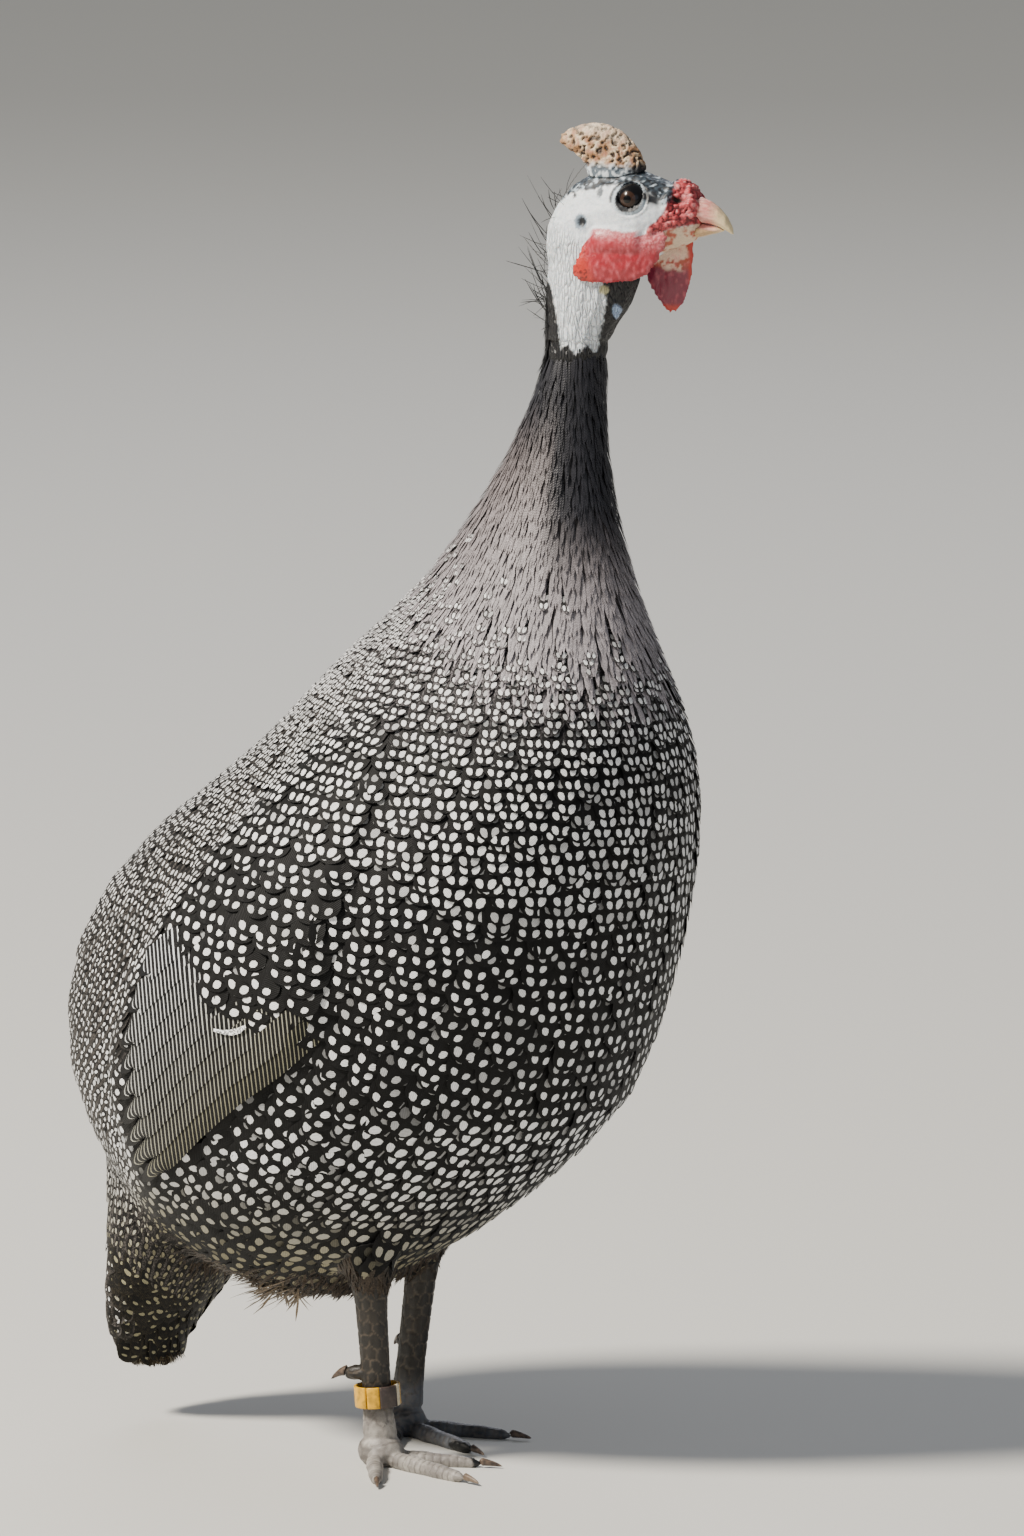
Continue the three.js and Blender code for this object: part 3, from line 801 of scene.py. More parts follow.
def make_spotted():
    """The spotted feathers of breast, flanks, wings and back, with the wing quills left bare."""
    height, turn, pitch, wide = spotted_rows()
    jitter = random.normal(0, 1, (len(height), 4))
    height = height + jitter[:, 0] * 0.0004
    turn = turn + jitter[:, 1] * 0.004
    keep = height < spots_top(turn) + 0.012 * jitter[:, 2]
    height, turn, pitch, wide, jitter = (a[keep] for a in (height, turn, pitch, wide, jitter))
    roots = coat_wrap.at(height, turn)
    back = back_share(turn)
    length = pitch * FEATHER_REACH * (1 + 0.05 * jitter[:, 3])
    width = wide * 1.2
    lines, normals = lay_lines(coat_tree, roots, length, jitter[:, 0] * 0.04)
    # Feathers rooted under the wing lie on the flank; those that would cover the quills are left out
    along, above = wing_places(roots)
    behind = in_quills(roots, 0.002) & (along > np.interp(above, QUILL_RISES, QUILL_ENDS) - 0.017)
    under = in_quills(roots, 0.002) & ~behind
    low_lines, low_normals = lay_lines(body_tree, roots[under], length[under], jitter[under, 0] * 0.04)
    lines[under], normals[under] = low_lines, low_normals
    _, above = wing_places(lines[:, -1])
    covers = in_quills(lines[:, -1], -0.001) | in_quills(lines[:, 3], -0.001)
    keep = (~under & ~covers) | (under & ~in_quills(lines[:, -1], 0.0) & (above < -0.004))
    height, turn, pitch, back, length, width, jitter, lines, normals, roots = (
        a[keep] for a in (height, turn, pitch, back, length, width, jitter, lines, normals, roots))
    ground, spot = coat_colour(roots, turn)
    ground = ground * (1 + 0.12 * jitter[:, 1:2])
    faint = random.random(len(height)) < 0.2
    spot = spot * np.where(faint, 0.55, 1.0 - 0.06 * np.abs(jitter[:, 3]))[:, None]
    # Spot widths in millimetres: smallest on the back, largest on the wing and flank
    along, above = wing_places(roots)
    on_wing = (np.abs(roots[:, 1]) > 0.05) & (above > 0) & (along > -0.03) & (along < 0.08)
    want = 3.5 - 1.7 * back - 0.9 * smooth_step(height, 0.27, 0.34) * (1 - 0.6 * back)
    want = want + 0.5 * smooth_step(-height, -0.2, -0.12) * (1 - back) + 0.2 * on_wing * (1 - back)
    radius_steps = np.array([0.055, 0.07, 0.085, 0.1, 0.115, 0.135])
    step = np.abs(want[:, None] / 2 * MM / width[:, None] - radius_steps[None]).argmin(1)
    dashes = on_wing & (along > 0.02) & (above > 0.035) & (back < 0.9)
    breast = np.cos(turn) > 0.3
    kind = np.where(back > 0.4, BACK_KIND, np.where(dashes, 2, np.where(breast | (height > 0.27), 0, 1)))
    # Across, along and how many of the half covered spots show: breast, flank, rear of the wing, back
    spot_kinds = ((1.0, 0.8, 0.85), (1.05, 0.78, 0.25), (1.25, 0.5, 0.4), (0.95, 0.6, 1.0))
    groups = {"PlumageBack": [], "PlumageRight": [], "PlumageLeft": [], "PlumageBreast": []}
    flank = np.where(np.sin(turn) < 0, "PlumageRight", "PlumageLeft")
    zone = np.where(np.cos(turn) > 0.78, "PlumageBreast", flank)
    zone = np.where(back > 0.4, "PlumageBack", zone)
    variant = random.integers(0, VARIANTS, len(height))
    unwrap = unwrap_of(height, turn)
    for k, radius in enumerate(radius_steps):
        for t, (broad, tall, chance) in enumerate(spot_kinds):
            for v in range(VARIANTS):
                rows = (0.545, 0.835) if v / VARIANTS < chance else (0.835,)
                rows, dim = ((0.75, 0.93), 0.8) if t == BACK_KIND else (rows, 0.36)
                pattern = spotted_vane(rows, radius * broad, radius * tall, 0.12, dim=dim)
                for name, batches in groups.items():
                    pick = np.flatnonzero((zone == name) & (step == k) & (kind == t) & (variant == v))
                    if not len(pick):
                        continue
                    lift = 0.0002 + 0.00015 * np.abs(jitter[pick, 2])
                    chosen = picked(pick, lines, normals, width, length, ground, spot, unwrap)
                    batches.append(laid(pattern, *chosen, sink=0.003, lift=lift, cup=0.0004, roll=0.0006))
    for name, batches in groups.items():
        build_coat(name, batches, (vane_dark, vane_white))


# The height where the neck's plumage is parted into two pieces
NECK_SPLIT = 0.385


def make_neck():
    """Hair-like feathers from the bare skin down to the breast."""
    heights, turns = [], []
    for height in np.arange(NECK_LINE + 0.008, 0.305, -0.0026):
        girth = coat_wrap.girth(min(height, 0.455))
        count = round(girth / 0.00155)
        heights.append(np.full(count, height))
        turns.append((np.arange(count) + random.random()) / count * 2 * math.pi)
    height, turn = np.concatenate(heights), np.concatenate(turns)
    jitter = random.normal(0, 1, (len(height), 4))
    height = height + jitter[:, 0] * 0.0012
    turn = turn + jitter[:, 1] * 0.03
    front = np.cos(turn)
    start = NECK_LINE + 0.012 * np.clip(front, 0, 1) ** 3 + 0.012 * np.clip(-front, 0, 1) ** 3
    fade = smooth_step(height, spots_top(turn) - 0.022, spots_top(turn) + 0.014)
    keep = (height < start) & (random.random(len(height)) < fade)
    height, turn, jitter = height[keep], turn[keep], jitter[keep]
    roots = coat_wrap.at(np.minimum(height, 0.462), turn)
    roots[:, 2] = height
    length = 0.0105 + 0.002 * smooth_step(-height, -0.44, -0.36) + 0.0012 * jitter[:, 2]
    width = 0.0012 + 0.0005 * smooth_step(-height, -0.42, -0.32)
    lines, normals = lay_lines(coat_tree, roots, length, jitter[:, 3] * 0.05, 3)
    colour = neck_colour(roots, turn) * (1 + 0.1 * np.clip(jitter[:, 1:2], -2, 2.5))
    pattern = plain_vane(3, 5, 0.2, 0.02)
    sink = 0.0012 + 0.0008 * smooth_step(-height, -0.42, -0.34)
    lift = 0.0002 + 0.00014 * np.abs(jitter[:, 0])
    unwrap = unwrap_of(height, turn)
    for name, pick in (("PlumageThroat", height > NECK_SPLIT), ("PlumageNeck", height <= NECK_SPLIT)):
        chosen = picked(pick, lines, normals, width, length, colour, colour, unwrap)
        batch = laid(pattern, *chosen, sink=sink[pick], lift=lift[pick], cup=0.00008)
        build_coat(name, [batch], (neck_vane, neck_vane))


# How many quills show, how far apart they lie and how much of each pitch is pale bar
QUILL_COUNT = 9
QUILL_STEP = 0.0083
BAR_SHARE = 0.25


def make_quill(k, side):
    """One long wing feather, its bars in line with those of the next ones."""
    middle = 0.0025 + QUILL_STEP * k
    wide = QUILL_STEP * 1.45
    start = np.interp(middle, QUILL_RISES, QUILL_STARTS) - 0.018
    end = np.interp(middle, QUILL_RISES, QUILL_ENDS)
    shift = BAR_SLANT * middle
    bars = range(math.ceil((start + shift) / BAR_PITCH), math.floor((end + shift) / BAR_PITCH))
    edges = [(bar + part) * BAR_PITCH - shift for bar in bars for part in (0, BAR_SHARE)]
    rows = np.array([start, *edges, end])
    last = len(rows) - 1
    bm, grid = vane_grid(np.linspace(-0.5, 0.5, 7), np.linspace(0, 1, last + 1))
    pattern = pattern_from(bm, grid, [])
    row = np.round(pattern["places"][:, 1] * last).astype(int)
    low_row = row[pattern["faces"]].min(1)
    pattern["spot"] = (low_row % 2 == 1) & (low_row < last - 1)
    x, t = pattern["places"][:, 0], row / last
    above = middle + x * wide * (1 - 0.45 * smooth_step(t, 0.8, 1))
    along = rows[row] - BAR_SLANT * (above - middle) * (1 - smooth_step(t, 0.86, 1.0))
    along = along - 0.006 * (2 * x) ** 2 * smooth_step(t, 0.84, 1)
    points, normals = on_wing_at(along, above, side)
    # The lower edge of each quill lies free on the one below
    rise = 0.0004 + 0.0005 * (0.5 - x) - 0.0016 * (1 - smooth_step(t, 0, 0.2))
    corners = (points + normals * rise[:, None])[None]
    if side > 0:
        pattern["faces"] = pattern["faces"][:, ::-1]
    pattern["places"] = np.column_stack([x, t, 0 * x])
    # The bars run from cream on the lowest quill to bright bluish white on the highest; the brightening
    # toward the top is a painted highlight
    low = 1 - k / (QUILL_COUNT - 1)
    ground = rgb("0b0a08") * low + rgb("08080a") * (1 - low)
    pale = rgb("96937c") * low + rgb("e6e9ec") * (1 - low)
    place = unwrap_of(np.array([0.1 + 0.012 * k]), np.array([2.3 * side + 0.05 * k]))
    return pattern, corners, ground[None], pale[None], np.array([[wide, end - start]]) / MM, place


def make_quills():
    """The long wing feathers, the upper over the lower."""
    for side_name, side in SIDES.items():
        batches = [make_quill(k, side) for k in range(QUILL_COUNT)]
        if side < 0:
            # One covert's white edge shows over the quills
            t = np.linspace(0, 1, 5)
            line, face = on_wing_at(0.026 - 0.02 * t, 0.0285 - 0.0065 * t - 0.008 * t * (1 - t), side)
            line = (line + face * 0.0016)[None]
            batches.append(laid(plain_vane(3, 5, 0.5, 0.0), line, face[None], 0.0024, [0.012],
                                WHITE[None], WHITE[None], batches[-1][-1]))
        build_coat("WingQuills" + side_name.title(), batches, (vane_dark, vane_white),
                   [f"wing_quills_{side_name}", f"wing_{side_name}"])


# How far apart the rows and the columns of tail feathers are
TAIL_PITCH = 0.0052
TAIL_COLUMN = 0.009


def make_tail():
    """Tail feathers hanging in rows, small spots on the outer side and long pale ones beneath."""
    heights, turns, widths = [], [], []
    rows = tail_wrap.row_heights(lambda z: TAIL_PITCH + 0 * z, 0.036, 0.112)
    for k, height in enumerate(rows):
        girth = tail_wrap.girth(height)
        count = max(10, round(girth / TAIL_COLUMN))
        turns.append((np.arange(count) + 0.5 * (k % 2)) / count * 2 * math.pi)
        heights.append(np.full(count, height))
        widths.append(np.full(count, girth / count * 1.2))
    height, turn, width = np.concatenate(heights), np.concatenate(turns), np.concatenate(widths)
    jitter = random.normal(0, 1, (len(height), 4))
    roots = tail_wrap.at(height, turn + 0.03 * jitter[:, 0])
    length = 0.03 + 0.0015 * jitter[:, 1]
    length = np.minimum(length, roots[:, 2] - 0.0205 + 0.0015 * jitter[:, 3])
    keep = length > 0.009
    height, turn, width, roots, length, jitter = (
        a[keep] for a in (height, turn, width, roots, length, jitter))
    lines, normals = lay_lines(coat_tree, roots, length, 0.05 * jitter[:, 2], 4, flow, 0.033)
    outer = smooth_step(np.abs(np.mod(turn, 2 * math.pi) - math.pi), 1.65, 1.3)[:, None]
    ground = rgb("1d1910") * (1 - outer) + BACK_GREY * outer
    outer = outer * smooth_step(height, 0.045, 0.075)[:, None]
    spot = rgb("8f8a6e") * (1 - outer) + WHITE * 0.9 * outer
    batches = []
    under, over = (0.22, 0.38, 0.54, 0.7, 0.86), (0.22, 0.4, 0.58, 0.76, 0.91)
    kinds = {"under": [spotted_vane(under, 0.15, 0.032, 0.25, 0.75, chance=0.85) for _ in range(VARIANTS)],
             "outer": [spotted_vane(over, 0.075, 0.034, 0.2, 0.75) for _ in range(VARIANTS)]}
    variant = random.integers(0, VARIANTS, len(height))
    unwrap = unwrap_of(height, turn)
    for kind, patterns in kinds.items():
        for v, pattern in enumerate(patterns):
            pick = np.flatnonzero((variant == v) & ((outer[:, 0] > 0.5) == (kind == "outer")))
            lift = 0.0002 + 0.0004 * np.abs(jitter[pick, 2])
            chosen = picked(pick, lines, normals, width, length, ground, spot, unwrap)
            batches.append(laid(pattern, *chosen, sink=0.004, lift=lift, cup=0.0006, roll=0.0008))
    build_coat("PlumageTail", batches, (vane_dark, vane_white))


def strands(tree, roots, length, width, colour, unwrap, sink=0.0035, loose=0.0016, stray=0.35, run=flow):
    """A batch of loose soft barbs lying on a surface."""
    jitter = random.normal(0, 1, (len(roots), 2))
    lines, normals = lay_lines(tree, roots, length, stray * jitter[:, 0], 3, run)
    lift = 0.0002 + loose * np.abs(jitter[:, 1])
    return laid(plain_vane(3, 5, 0.15, 0.02), lines, normals, width, length, colour, colour, unwrap,
                sink=sink, lift=lift, cup=0.0001)


def straight(*way):
    """A lie of the coat that is the same everywhere."""
    return lambda points: np.tile(way, (len(points), 1))


def belly_barbs():
    """The loose fringe under the belly."""
    count = 2000
    turn = random.random(count) * 2 * math.pi
    height = 0.0637 + 0.014 * random.random(count) ** 1.6
    roots = coat_wrap.at(height, turn)
    shade = 0.2 + 0.4 * random.random((count, 1))
    length = 0.011 + 0.002 * random.normal(0, 1, count)
    return strands(coat_tree, roots, length, 0.0011, rgb("5c4d3d") * shade, unwrap_of(height, turn))


def leg_tuft(side, middle):
    """A tuft that hangs behind a leg."""
    count = 260
    place = np.column_stack([middle + 0.014 * random.normal(0, 0.5, count),
                             side * 0.034 + 0.012 * random.normal(0, 0.6, count), np.full(count, 0.05)])
    roots, _ = nearest(coat_tree, place)
    shade = 0.4 + 0.8 * random.random((count, 1))
    length = 0.013 + 0.003 * random.random(count)
    place = unwrap_of(roots[:, 2], np.full(count, 4.2 if side < 0 else 2.1))
    return strands(coat_tree, roots, length, 0.0009, rgb("7a6a55") * shade, place, sink=0.002, loose=0.004,
                   stray=0.5)


def thigh_barbs(side_name):
    """Short barbs round the top of a shank."""
    low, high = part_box(f"thigh_{side_name}")
    centre = (low + high) / 2
    count, radius = 420, 0.0155
    turn = random.random(count) * 2 * math.pi
    height = 0.0745 + 0.007 * random.random(count)
    place = np.column_stack([centre[0] + radius * np.cos(turn), centre[1] + radius * np.sin(turn), height])
    roots, _ = nearest(coat_tree, place)
    shade = 0.3 + 0.6 * random.random((count, 1))
    length = 0.0075 + 0.0025 * random.random(count)
    place = unwrap_of(0.02 + 0 * height, turn)
    return strands(coat_tree, roots, length, 0.001, rgb("4f4234") * shade, place, sink=0.002,
                   loose=0.0005, stray=0.25, run=straight(0.0, 0.0, -1.0))


def tail_end_barbs():
    """The frayed end of the tail, some of its barbs with pale tips."""
    count = 900
    turn = random.random(count) * 2 * math.pi
    height = 0.0255 + 0.0035 * random.random(count)
    roots = tail_wrap.at(np.maximum(height, 0.0285), turn)
    pale = (random.random((count, 1)) < 0.2)
    colour = np.where(pale, rgb("948d7a"), rgb("4a3f2e") * (0.6 + 0.8 * random.random((count, 1))))
    length = 0.0055 + 0.0025 * random.random(count)
    t = np.linspace(0, 1, 4)[None, :, None]
    way = unit(np.column_stack([0.25 * random.normal(0, 1, count) - 0.05, 0.2 * random.normal(0, 1, count),
                                -np.ones(count)]))
    lines = roots[:, None] + way[:, None] * t * length[:, None, None]
    outward = np.column_stack([np.cos(turn), np.sin(turn), 0 * turn])
    normals = np.repeat(unit(outward)[:, None], 4, 1)
    batch = laid(plain_vane(3, 5, 0.15, 0.02), lines, normals, 0.0007, length, colour, colour,
                 unwrap_of(height, turn), sink=0.001, lift=0.0003)
    corners = batch[1]
    corners[..., 2] = np.maximum(corners[..., 2], 0.0165)
    return batch


def make_fluff():
    """Loose soft barbs under the belly, round the thighs and at the end of the tail."""
    batches = [belly_barbs(), leg_tuft(-1, -0.03), leg_tuft(1, -0.035)]
    batches += [thigh_barbs(side_name) for side_name in SIDES]
    batches.append(tail_end_barbs())
    build_coat("PlumageFluff", batches, (neck_vane, neck_vane))


# The skin

def to_head(points):
    """Points in millimetres in the head's own frame: ahead, to the left and up."""
    turn = np.array(HEAD_PLACE.to_3x3())
    return (points - np.array(HEAD_CENTRE)) @ turn / MM


def from_head(points):
    turn = np.array(HEAD_PLACE.to_3x3())
    return np.asarray(points) * MM @ turn.T + np.array(HEAD_CENTRE)


def shrunk(thing, depth):
    """Moves a form's surface in by a depth for each point."""
    points = coordinates(thing.data)
    set_coordinates(thing.data, points - vertex_normals(thing.data) * depth(points)[:, None])
    return thing


def body_depth(points):
    """How deep the coat is at points: full on the body, thin on the neck."""
    z = points[:, 2]
    neck = smooth_step(z, 0.33, 0.4)
    return BODY_COAT * (1 - neck) + NECK_COAT * neck


NOSTRIL = (28.6, 7.6, 6.6)
EAR = (-8.3, 13.0, -2.8)
EYE = (10.8, 6.9)
GRANULE = 2.3
GAPE_STRAND = [(18, 12.4, -6), (21.5, 11.2, -4.2), (25, 10, -2.4), (29, 8.8, -1.2), (33.5, 7, 0.2)]
CERE_RIDGE = [(24.5, 9.6, 1.5), (25.5, 8.6, 7.5), (26.4, 5, 11.6), (28.6, 1.6, 13.2), (31.5, 1.8, 12.2),
              (33.6, 3.6, 9.2), (34.8, 4.8, 5), (33.8, 6, 2.2)]


def make_knobs(tree):
    """Little fleshy knobs along the cere and the gape, to be fused with the head."""
    bm = bmesh.new()
    for side in SIDES.values():
        for path, radius, spread, count in ((CERE_RIDGE, 1.5, 0.9, 44), (GAPE_STRAND, 1.1, 0.9, 30)):
            path = np.array(path, float)
            for k in range(count):
                t = (k + random.random()) / count * (len(path) - 1)
                i = min(int(t), len(path) - 2)
                spot = path[i] * (1 - t + i) + path[i + 1] * (t - i)
                spot = spot + random.normal(0, spread, 3)
                if math.dist(spot[[0, 2]], (NOSTRIL[0], NOSTRIL[2])) < 2.9:
                    continue
                world = from_head(spot * (1, side, 1))
                place, face = tree.find_nearest(Vector(world))[:2]
                place = place + face * 0.0003
                size = radius * (0.65 + 0.7 * random.random()) * MM
                bmesh.ops.create_icosphere(bm, subdivisions=2, radius=size,
                                           matrix=Matrix.Translation(place))
    return mesh_from("Knobs", bm)


def nostril_reach(x, z):
    """1 on the edge of the slot of the nostril, less within it."""
    across, up = x - NOSTRIL[0], z - NOSTRIL[2]
    return np.hypot((across - 0.4 * up) / 2.4, (up + 0.35 * across) / 1.35)


def eye_distance(x, z):
    """How far places on the side of the head are from the middle of its slightly long eye."""
    return np.hypot((x - EYE[0]) / 1.12, z - EYE[1])


def gap(points, tree):
    """How many millimetres each point is from a surface."""
    return np.array([tree.find_nearest(Vector(p))[3] for p in points]) / MM


def cere_share(x, z, grain):
    """The red knobbly skin between the face and the bill, and its lower edge."""
    start = np.interp(z, [-8, -4, -1.5, 3, 9, 13], [17.5, 18.5, 21.5, 25.2, 27.2, 27.4])
    end_low = np.interp(x, [18, 27, 36], [-8.5, -4.6, -3])
    share = smooth_step(x - start + 0.5 * grain, -0.5, 0.5)
    return share * smooth_step(z - end_low + 0.4 * grain, -0.5, 0.5), end_low


def granules(points, share):
    """Rounded grains: 1 at their middles, 0 in the gaps between."""
    round_top = np.zeros(len(points))
    for i in np.flatnonzero(share > 0.01):
        near = noise.voronoi(Vector(points[i]) / (GRANULE * MM))[0]
        round_top[i] = min((near[1] - near[0]) * 1.9, 1.0)
    return round_top


def above_wattle(x, y, z):
    """The strip of cheek over the right wattle, from its rear to the gape."""
    return smooth_step(x, -6, -2) * smooth_step(-x, -17, -13) * smooth_step(z, -14.5, -11.5) * (y < 0)


def shape_head(head, trees):
    """Lids, brow, nostril, ear and the folds of the bare skin, worked into the head."""
    points, normals = coordinates(head.data), vertex_normals(head.data)
    x, y, z = to_head(points).T
    out = np.abs(y)
    move = np.zeros(len(points))
    # Lids: a full ring round the eye, a fine fold outside it and a groove between
    round_eye = eye_distance(x, z)
    by_eye = smooth_step(out, 7.5, 9.5)
    for height, radius, width in ((0.75, 5.0, 0.6), (0.4, 6.9, 0.45), (-0.35, 6.1, 0.35)):
        move += by_eye * height * np.exp(-((round_eye - radius) / width) ** 2)
    # Brow from the back of the eye forward to the cere
    brow_height = np.interp(x, [-6, 4, 12, 20, 26], [11.5, 13.6, 13.4, 10.2, 7.6])
    brow = np.exp(-((z - brow_height) / 1.3) ** 2) * smooth_step(x, -8, 0) * smooth_step(-x, -27, -22)
    move += by_eye * brow * 0.8
    move -= smooth_step(out, 3, 5) * 1.8 * smooth_step(-nostril_reach(x, z), -1.3, -0.6)
    ear = np.hypot(x - EAR[0], (z - EAR[2]) / 1.2)
    move += (0.45 * np.exp(-((ear - 2.7) / 0.8) ** 2) - 1.0 * np.exp(-(ear / 1.4) ** 2)) * (out > 8)
    # The wattle's upper edge swells out of the cheek
    strip, to_wattle = above_wattle(x, y, z), -gap(points, trees[1])
    move += 2.0 * strip * smooth_step(to_wattle, -4.0, -0.8)
    # Finer crinkles on the cheek and uneven swellings lower down
    low = smooth_step(-z, 12, 30)
    fine = noise_at(np.column_stack([x, y, z]), 1.7, 8.0)
    lumps = noise_at(np.column_stack([x / 2.2, y / 2.2, z / 6]), 1.0, 3.0)
    move += 0.16 * fine * (1 - low) + low * 0.3 * lumps
    share, _ = cere_share(x, z, 0 * x)
    share = share * (out < 11) * smooth_step(-x, -37, -35)
    move += 0.75 * share * (smooth_step(granules(points, share), 0.0, 0.7) - 0.45)
    # Under the neck feathers the skin draws in
    tuck = NECK_COAT * smooth_step(-points[:, 2], -NECK_LINE, -NECK_LINE + 0.008)
    set_coordinates(head.data, points + normals * (move * MM - tuck)[:, None])
    # The strip over the wattle is smoothed, so that no step shows between the two
    joint = (strip * smooth_step(to_wattle, -4.5, -2.5))[:, None]
    for _ in range(24):
        before = coordinates(head.data)
        relax(head.data, 1, 0.5, 0.0)
        set_coordinates(head.data, before + (coordinates(head.data) - before) * joint)


def hex_edge(u, v, pitch):
    """Distance from the edge of six-sided cells of a given pitch, and which cell each point is in."""
    best = np.full(len(u), 1e9)
    second = best.copy()
    cell = np.zeros(len(u))
    for ox, oy in ((0, 0), (0.5, 0.5)):
        cu = (np.round(u / pitch - ox) + ox) * pitch
        cv = (np.round(v / (pitch * 1.732) - oy) + oy) * pitch * 1.732
        for du in (-1, 0, 1):
            for dv in (-1, 0, 1):
                pu, pv = cu + du * pitch, cv + dv * pitch * 1.732
                d = np.hypot(u - pu, v - pv)
                closer = d < best
                second = np.where(closer, best, np.minimum(second, d))
                cell = np.where(closer, np.sin(pu * 12.9 + pv * 78.2) * 0.5 + 0.5, cell)
                best = np.minimum(best, d)
    return (second - best) / 2, cell


# Widths of the shank's plates and the toes' bands, and the shank's radius, in millimetres
SCUTE = 5.4
TOE_SCUTE = 3.3
SHANK_RADIUS = 6.2


def bent_scutes(points, round_shank, up):
    """Shifts scute places unevenly, so that no two plates are alike."""
    bend = noise_at(points / MM, 6.0, 21.0)
    twist = noise_at(points / MM, 3.2, 23.0)
    return round_shank + 1.7 * bend + 0.8 * twist, up * 0.92 - 1.9 * bend + 0.9 * twist


def leg_places(points, side_name):
    """Round and up the shank, in millimetres, about its leaning middle line."""
    low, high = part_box(f"shank_{side_name}")
    climb = (points[:, 2] - low[2]) / (high[2] - low[2])
    foot_low, foot_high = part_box(f"foot_pad_{side_name}")
    foot = (foot_low + foot_high) / 2
    lean = (-0.0015, -0.0035) if side_name == "right" else (0.005, 0.0035)
    turn = np.arctan2(points[:, 1] - foot[1] - lean[1] * climb, points[:, 0] - foot[0] - lean[0] * climb)
    return turn * SHANK_RADIUS, points[:, 2] / MM


def toe_bands(points, side_name):
    """Distance from the edges of the cross bands on the toes, in millimetres."""
    foot_low, foot_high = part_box(f"foot_pad_{side_name}")
    foot = (foot_low + foot_high) / 2
    reach = np.hypot(points[:, 0] - foot[0], points[:, 1] - foot[1]) / MM
    return np.abs(np.mod(reach / TOE_SCUTE, 1) - 0.5) * TOE_SCUTE


def shape_leg(leg, side_name):
    """Plates on the shank and bands on the toes, with the sole left flat."""
    points, normals = coordinates(leg.data), vertex_normals(leg.data)
    edge, _ = hex_edge(*bent_scutes(points, *leg_places(points, side_name)), SCUTE)
    height = points[:, 2]
    shank = smooth_step(height, 0.014, 0.02)
    top = smooth_step(normals[:, 2], -0.1, 0.5) * (1 - shank)
    plates = shank * 0.3 * (smooth_step(edge, 0, 0.5) - 1)
    bands = top * 0.35 * (smooth_step(toe_bands(points, side_name), 0, 0.5) - 1)
    move = plates + bands + 0.1 * noise_at(points / MM, 1.3, 5.0)
    sole = smooth_step(height, 0.0006, 0.0016)
    under_coat = 0.002 * smooth_step(height, 0.074, 0.086)
    moved = points + normals * (move * MM * sole - under_coat)[:, None]
    moved[:, 2] = np.maximum(moved[:, 2], 0)
    set_coordinates(leg.data, moved)


def fused(base, others):
    """One closed skin from overlapping closed forms."""
    for other in others:
        join = base.modifiers.new("Join", "BOOLEAN")
        join.operation = "UNION"
        join.solver = "MANIFOLD"
        join.object = other
    graph = bpy.context.evaluated_depsgraph_get()
    whole = bpy.data.meshes.new_from_object(base.evaluated_get(graph))
    for thing in (base, *others):
        drop(thing)
    return whole


SKIN_WHITE = rgb("dfe4e8")
SKIN_SHADE = rgb("9fb0bf")
SLATE = rgb("3c4650")
SLATE_DARK = rgb("15181d")
THROAT_BLACK = rgb("0e0e12")
CERE_RED = rgb("b8474b")
CERE_PINK = rgb("dd9a97")
WATTLE_RED = rgb("9c1f2b")
# Pink on the wattles' crinkles, partly their own colour and partly painted highlight
WATTLE_PINK = rgb("d4656f")
WATTLE_ORANGE = rgb("b52c1f")
WATTLE_CREAM = rgb("e3c5ae")
WATTLE_PURPLE = rgb("7d1c38")


def blend(colour, mask, other):
    return colour * (1 - mask[:, None]) + other * mask[:, None]


def layered(colour, *layers):
    """A colour with others laid over it in turn, each with its own share at each point."""
    for share, other in layers:
        colour = blend(colour, share, other)
    return colour


class HeadPlaces:
    """Points in the head's own frame, in millimetres, with three sizes of noise at them."""

    def __init__(self, points):
        self.points = points
        self.x, self.y, self.z = to_head(points).T
        self.out = np.abs(self.y)
        self.lumps = noise_at(points / MM, 4.0, 1.0)
        self.grain = noise_at(points / MM, 1.3, 2.0)
        self.flecks = noise_at(points / MM, 0.8, 4.0)


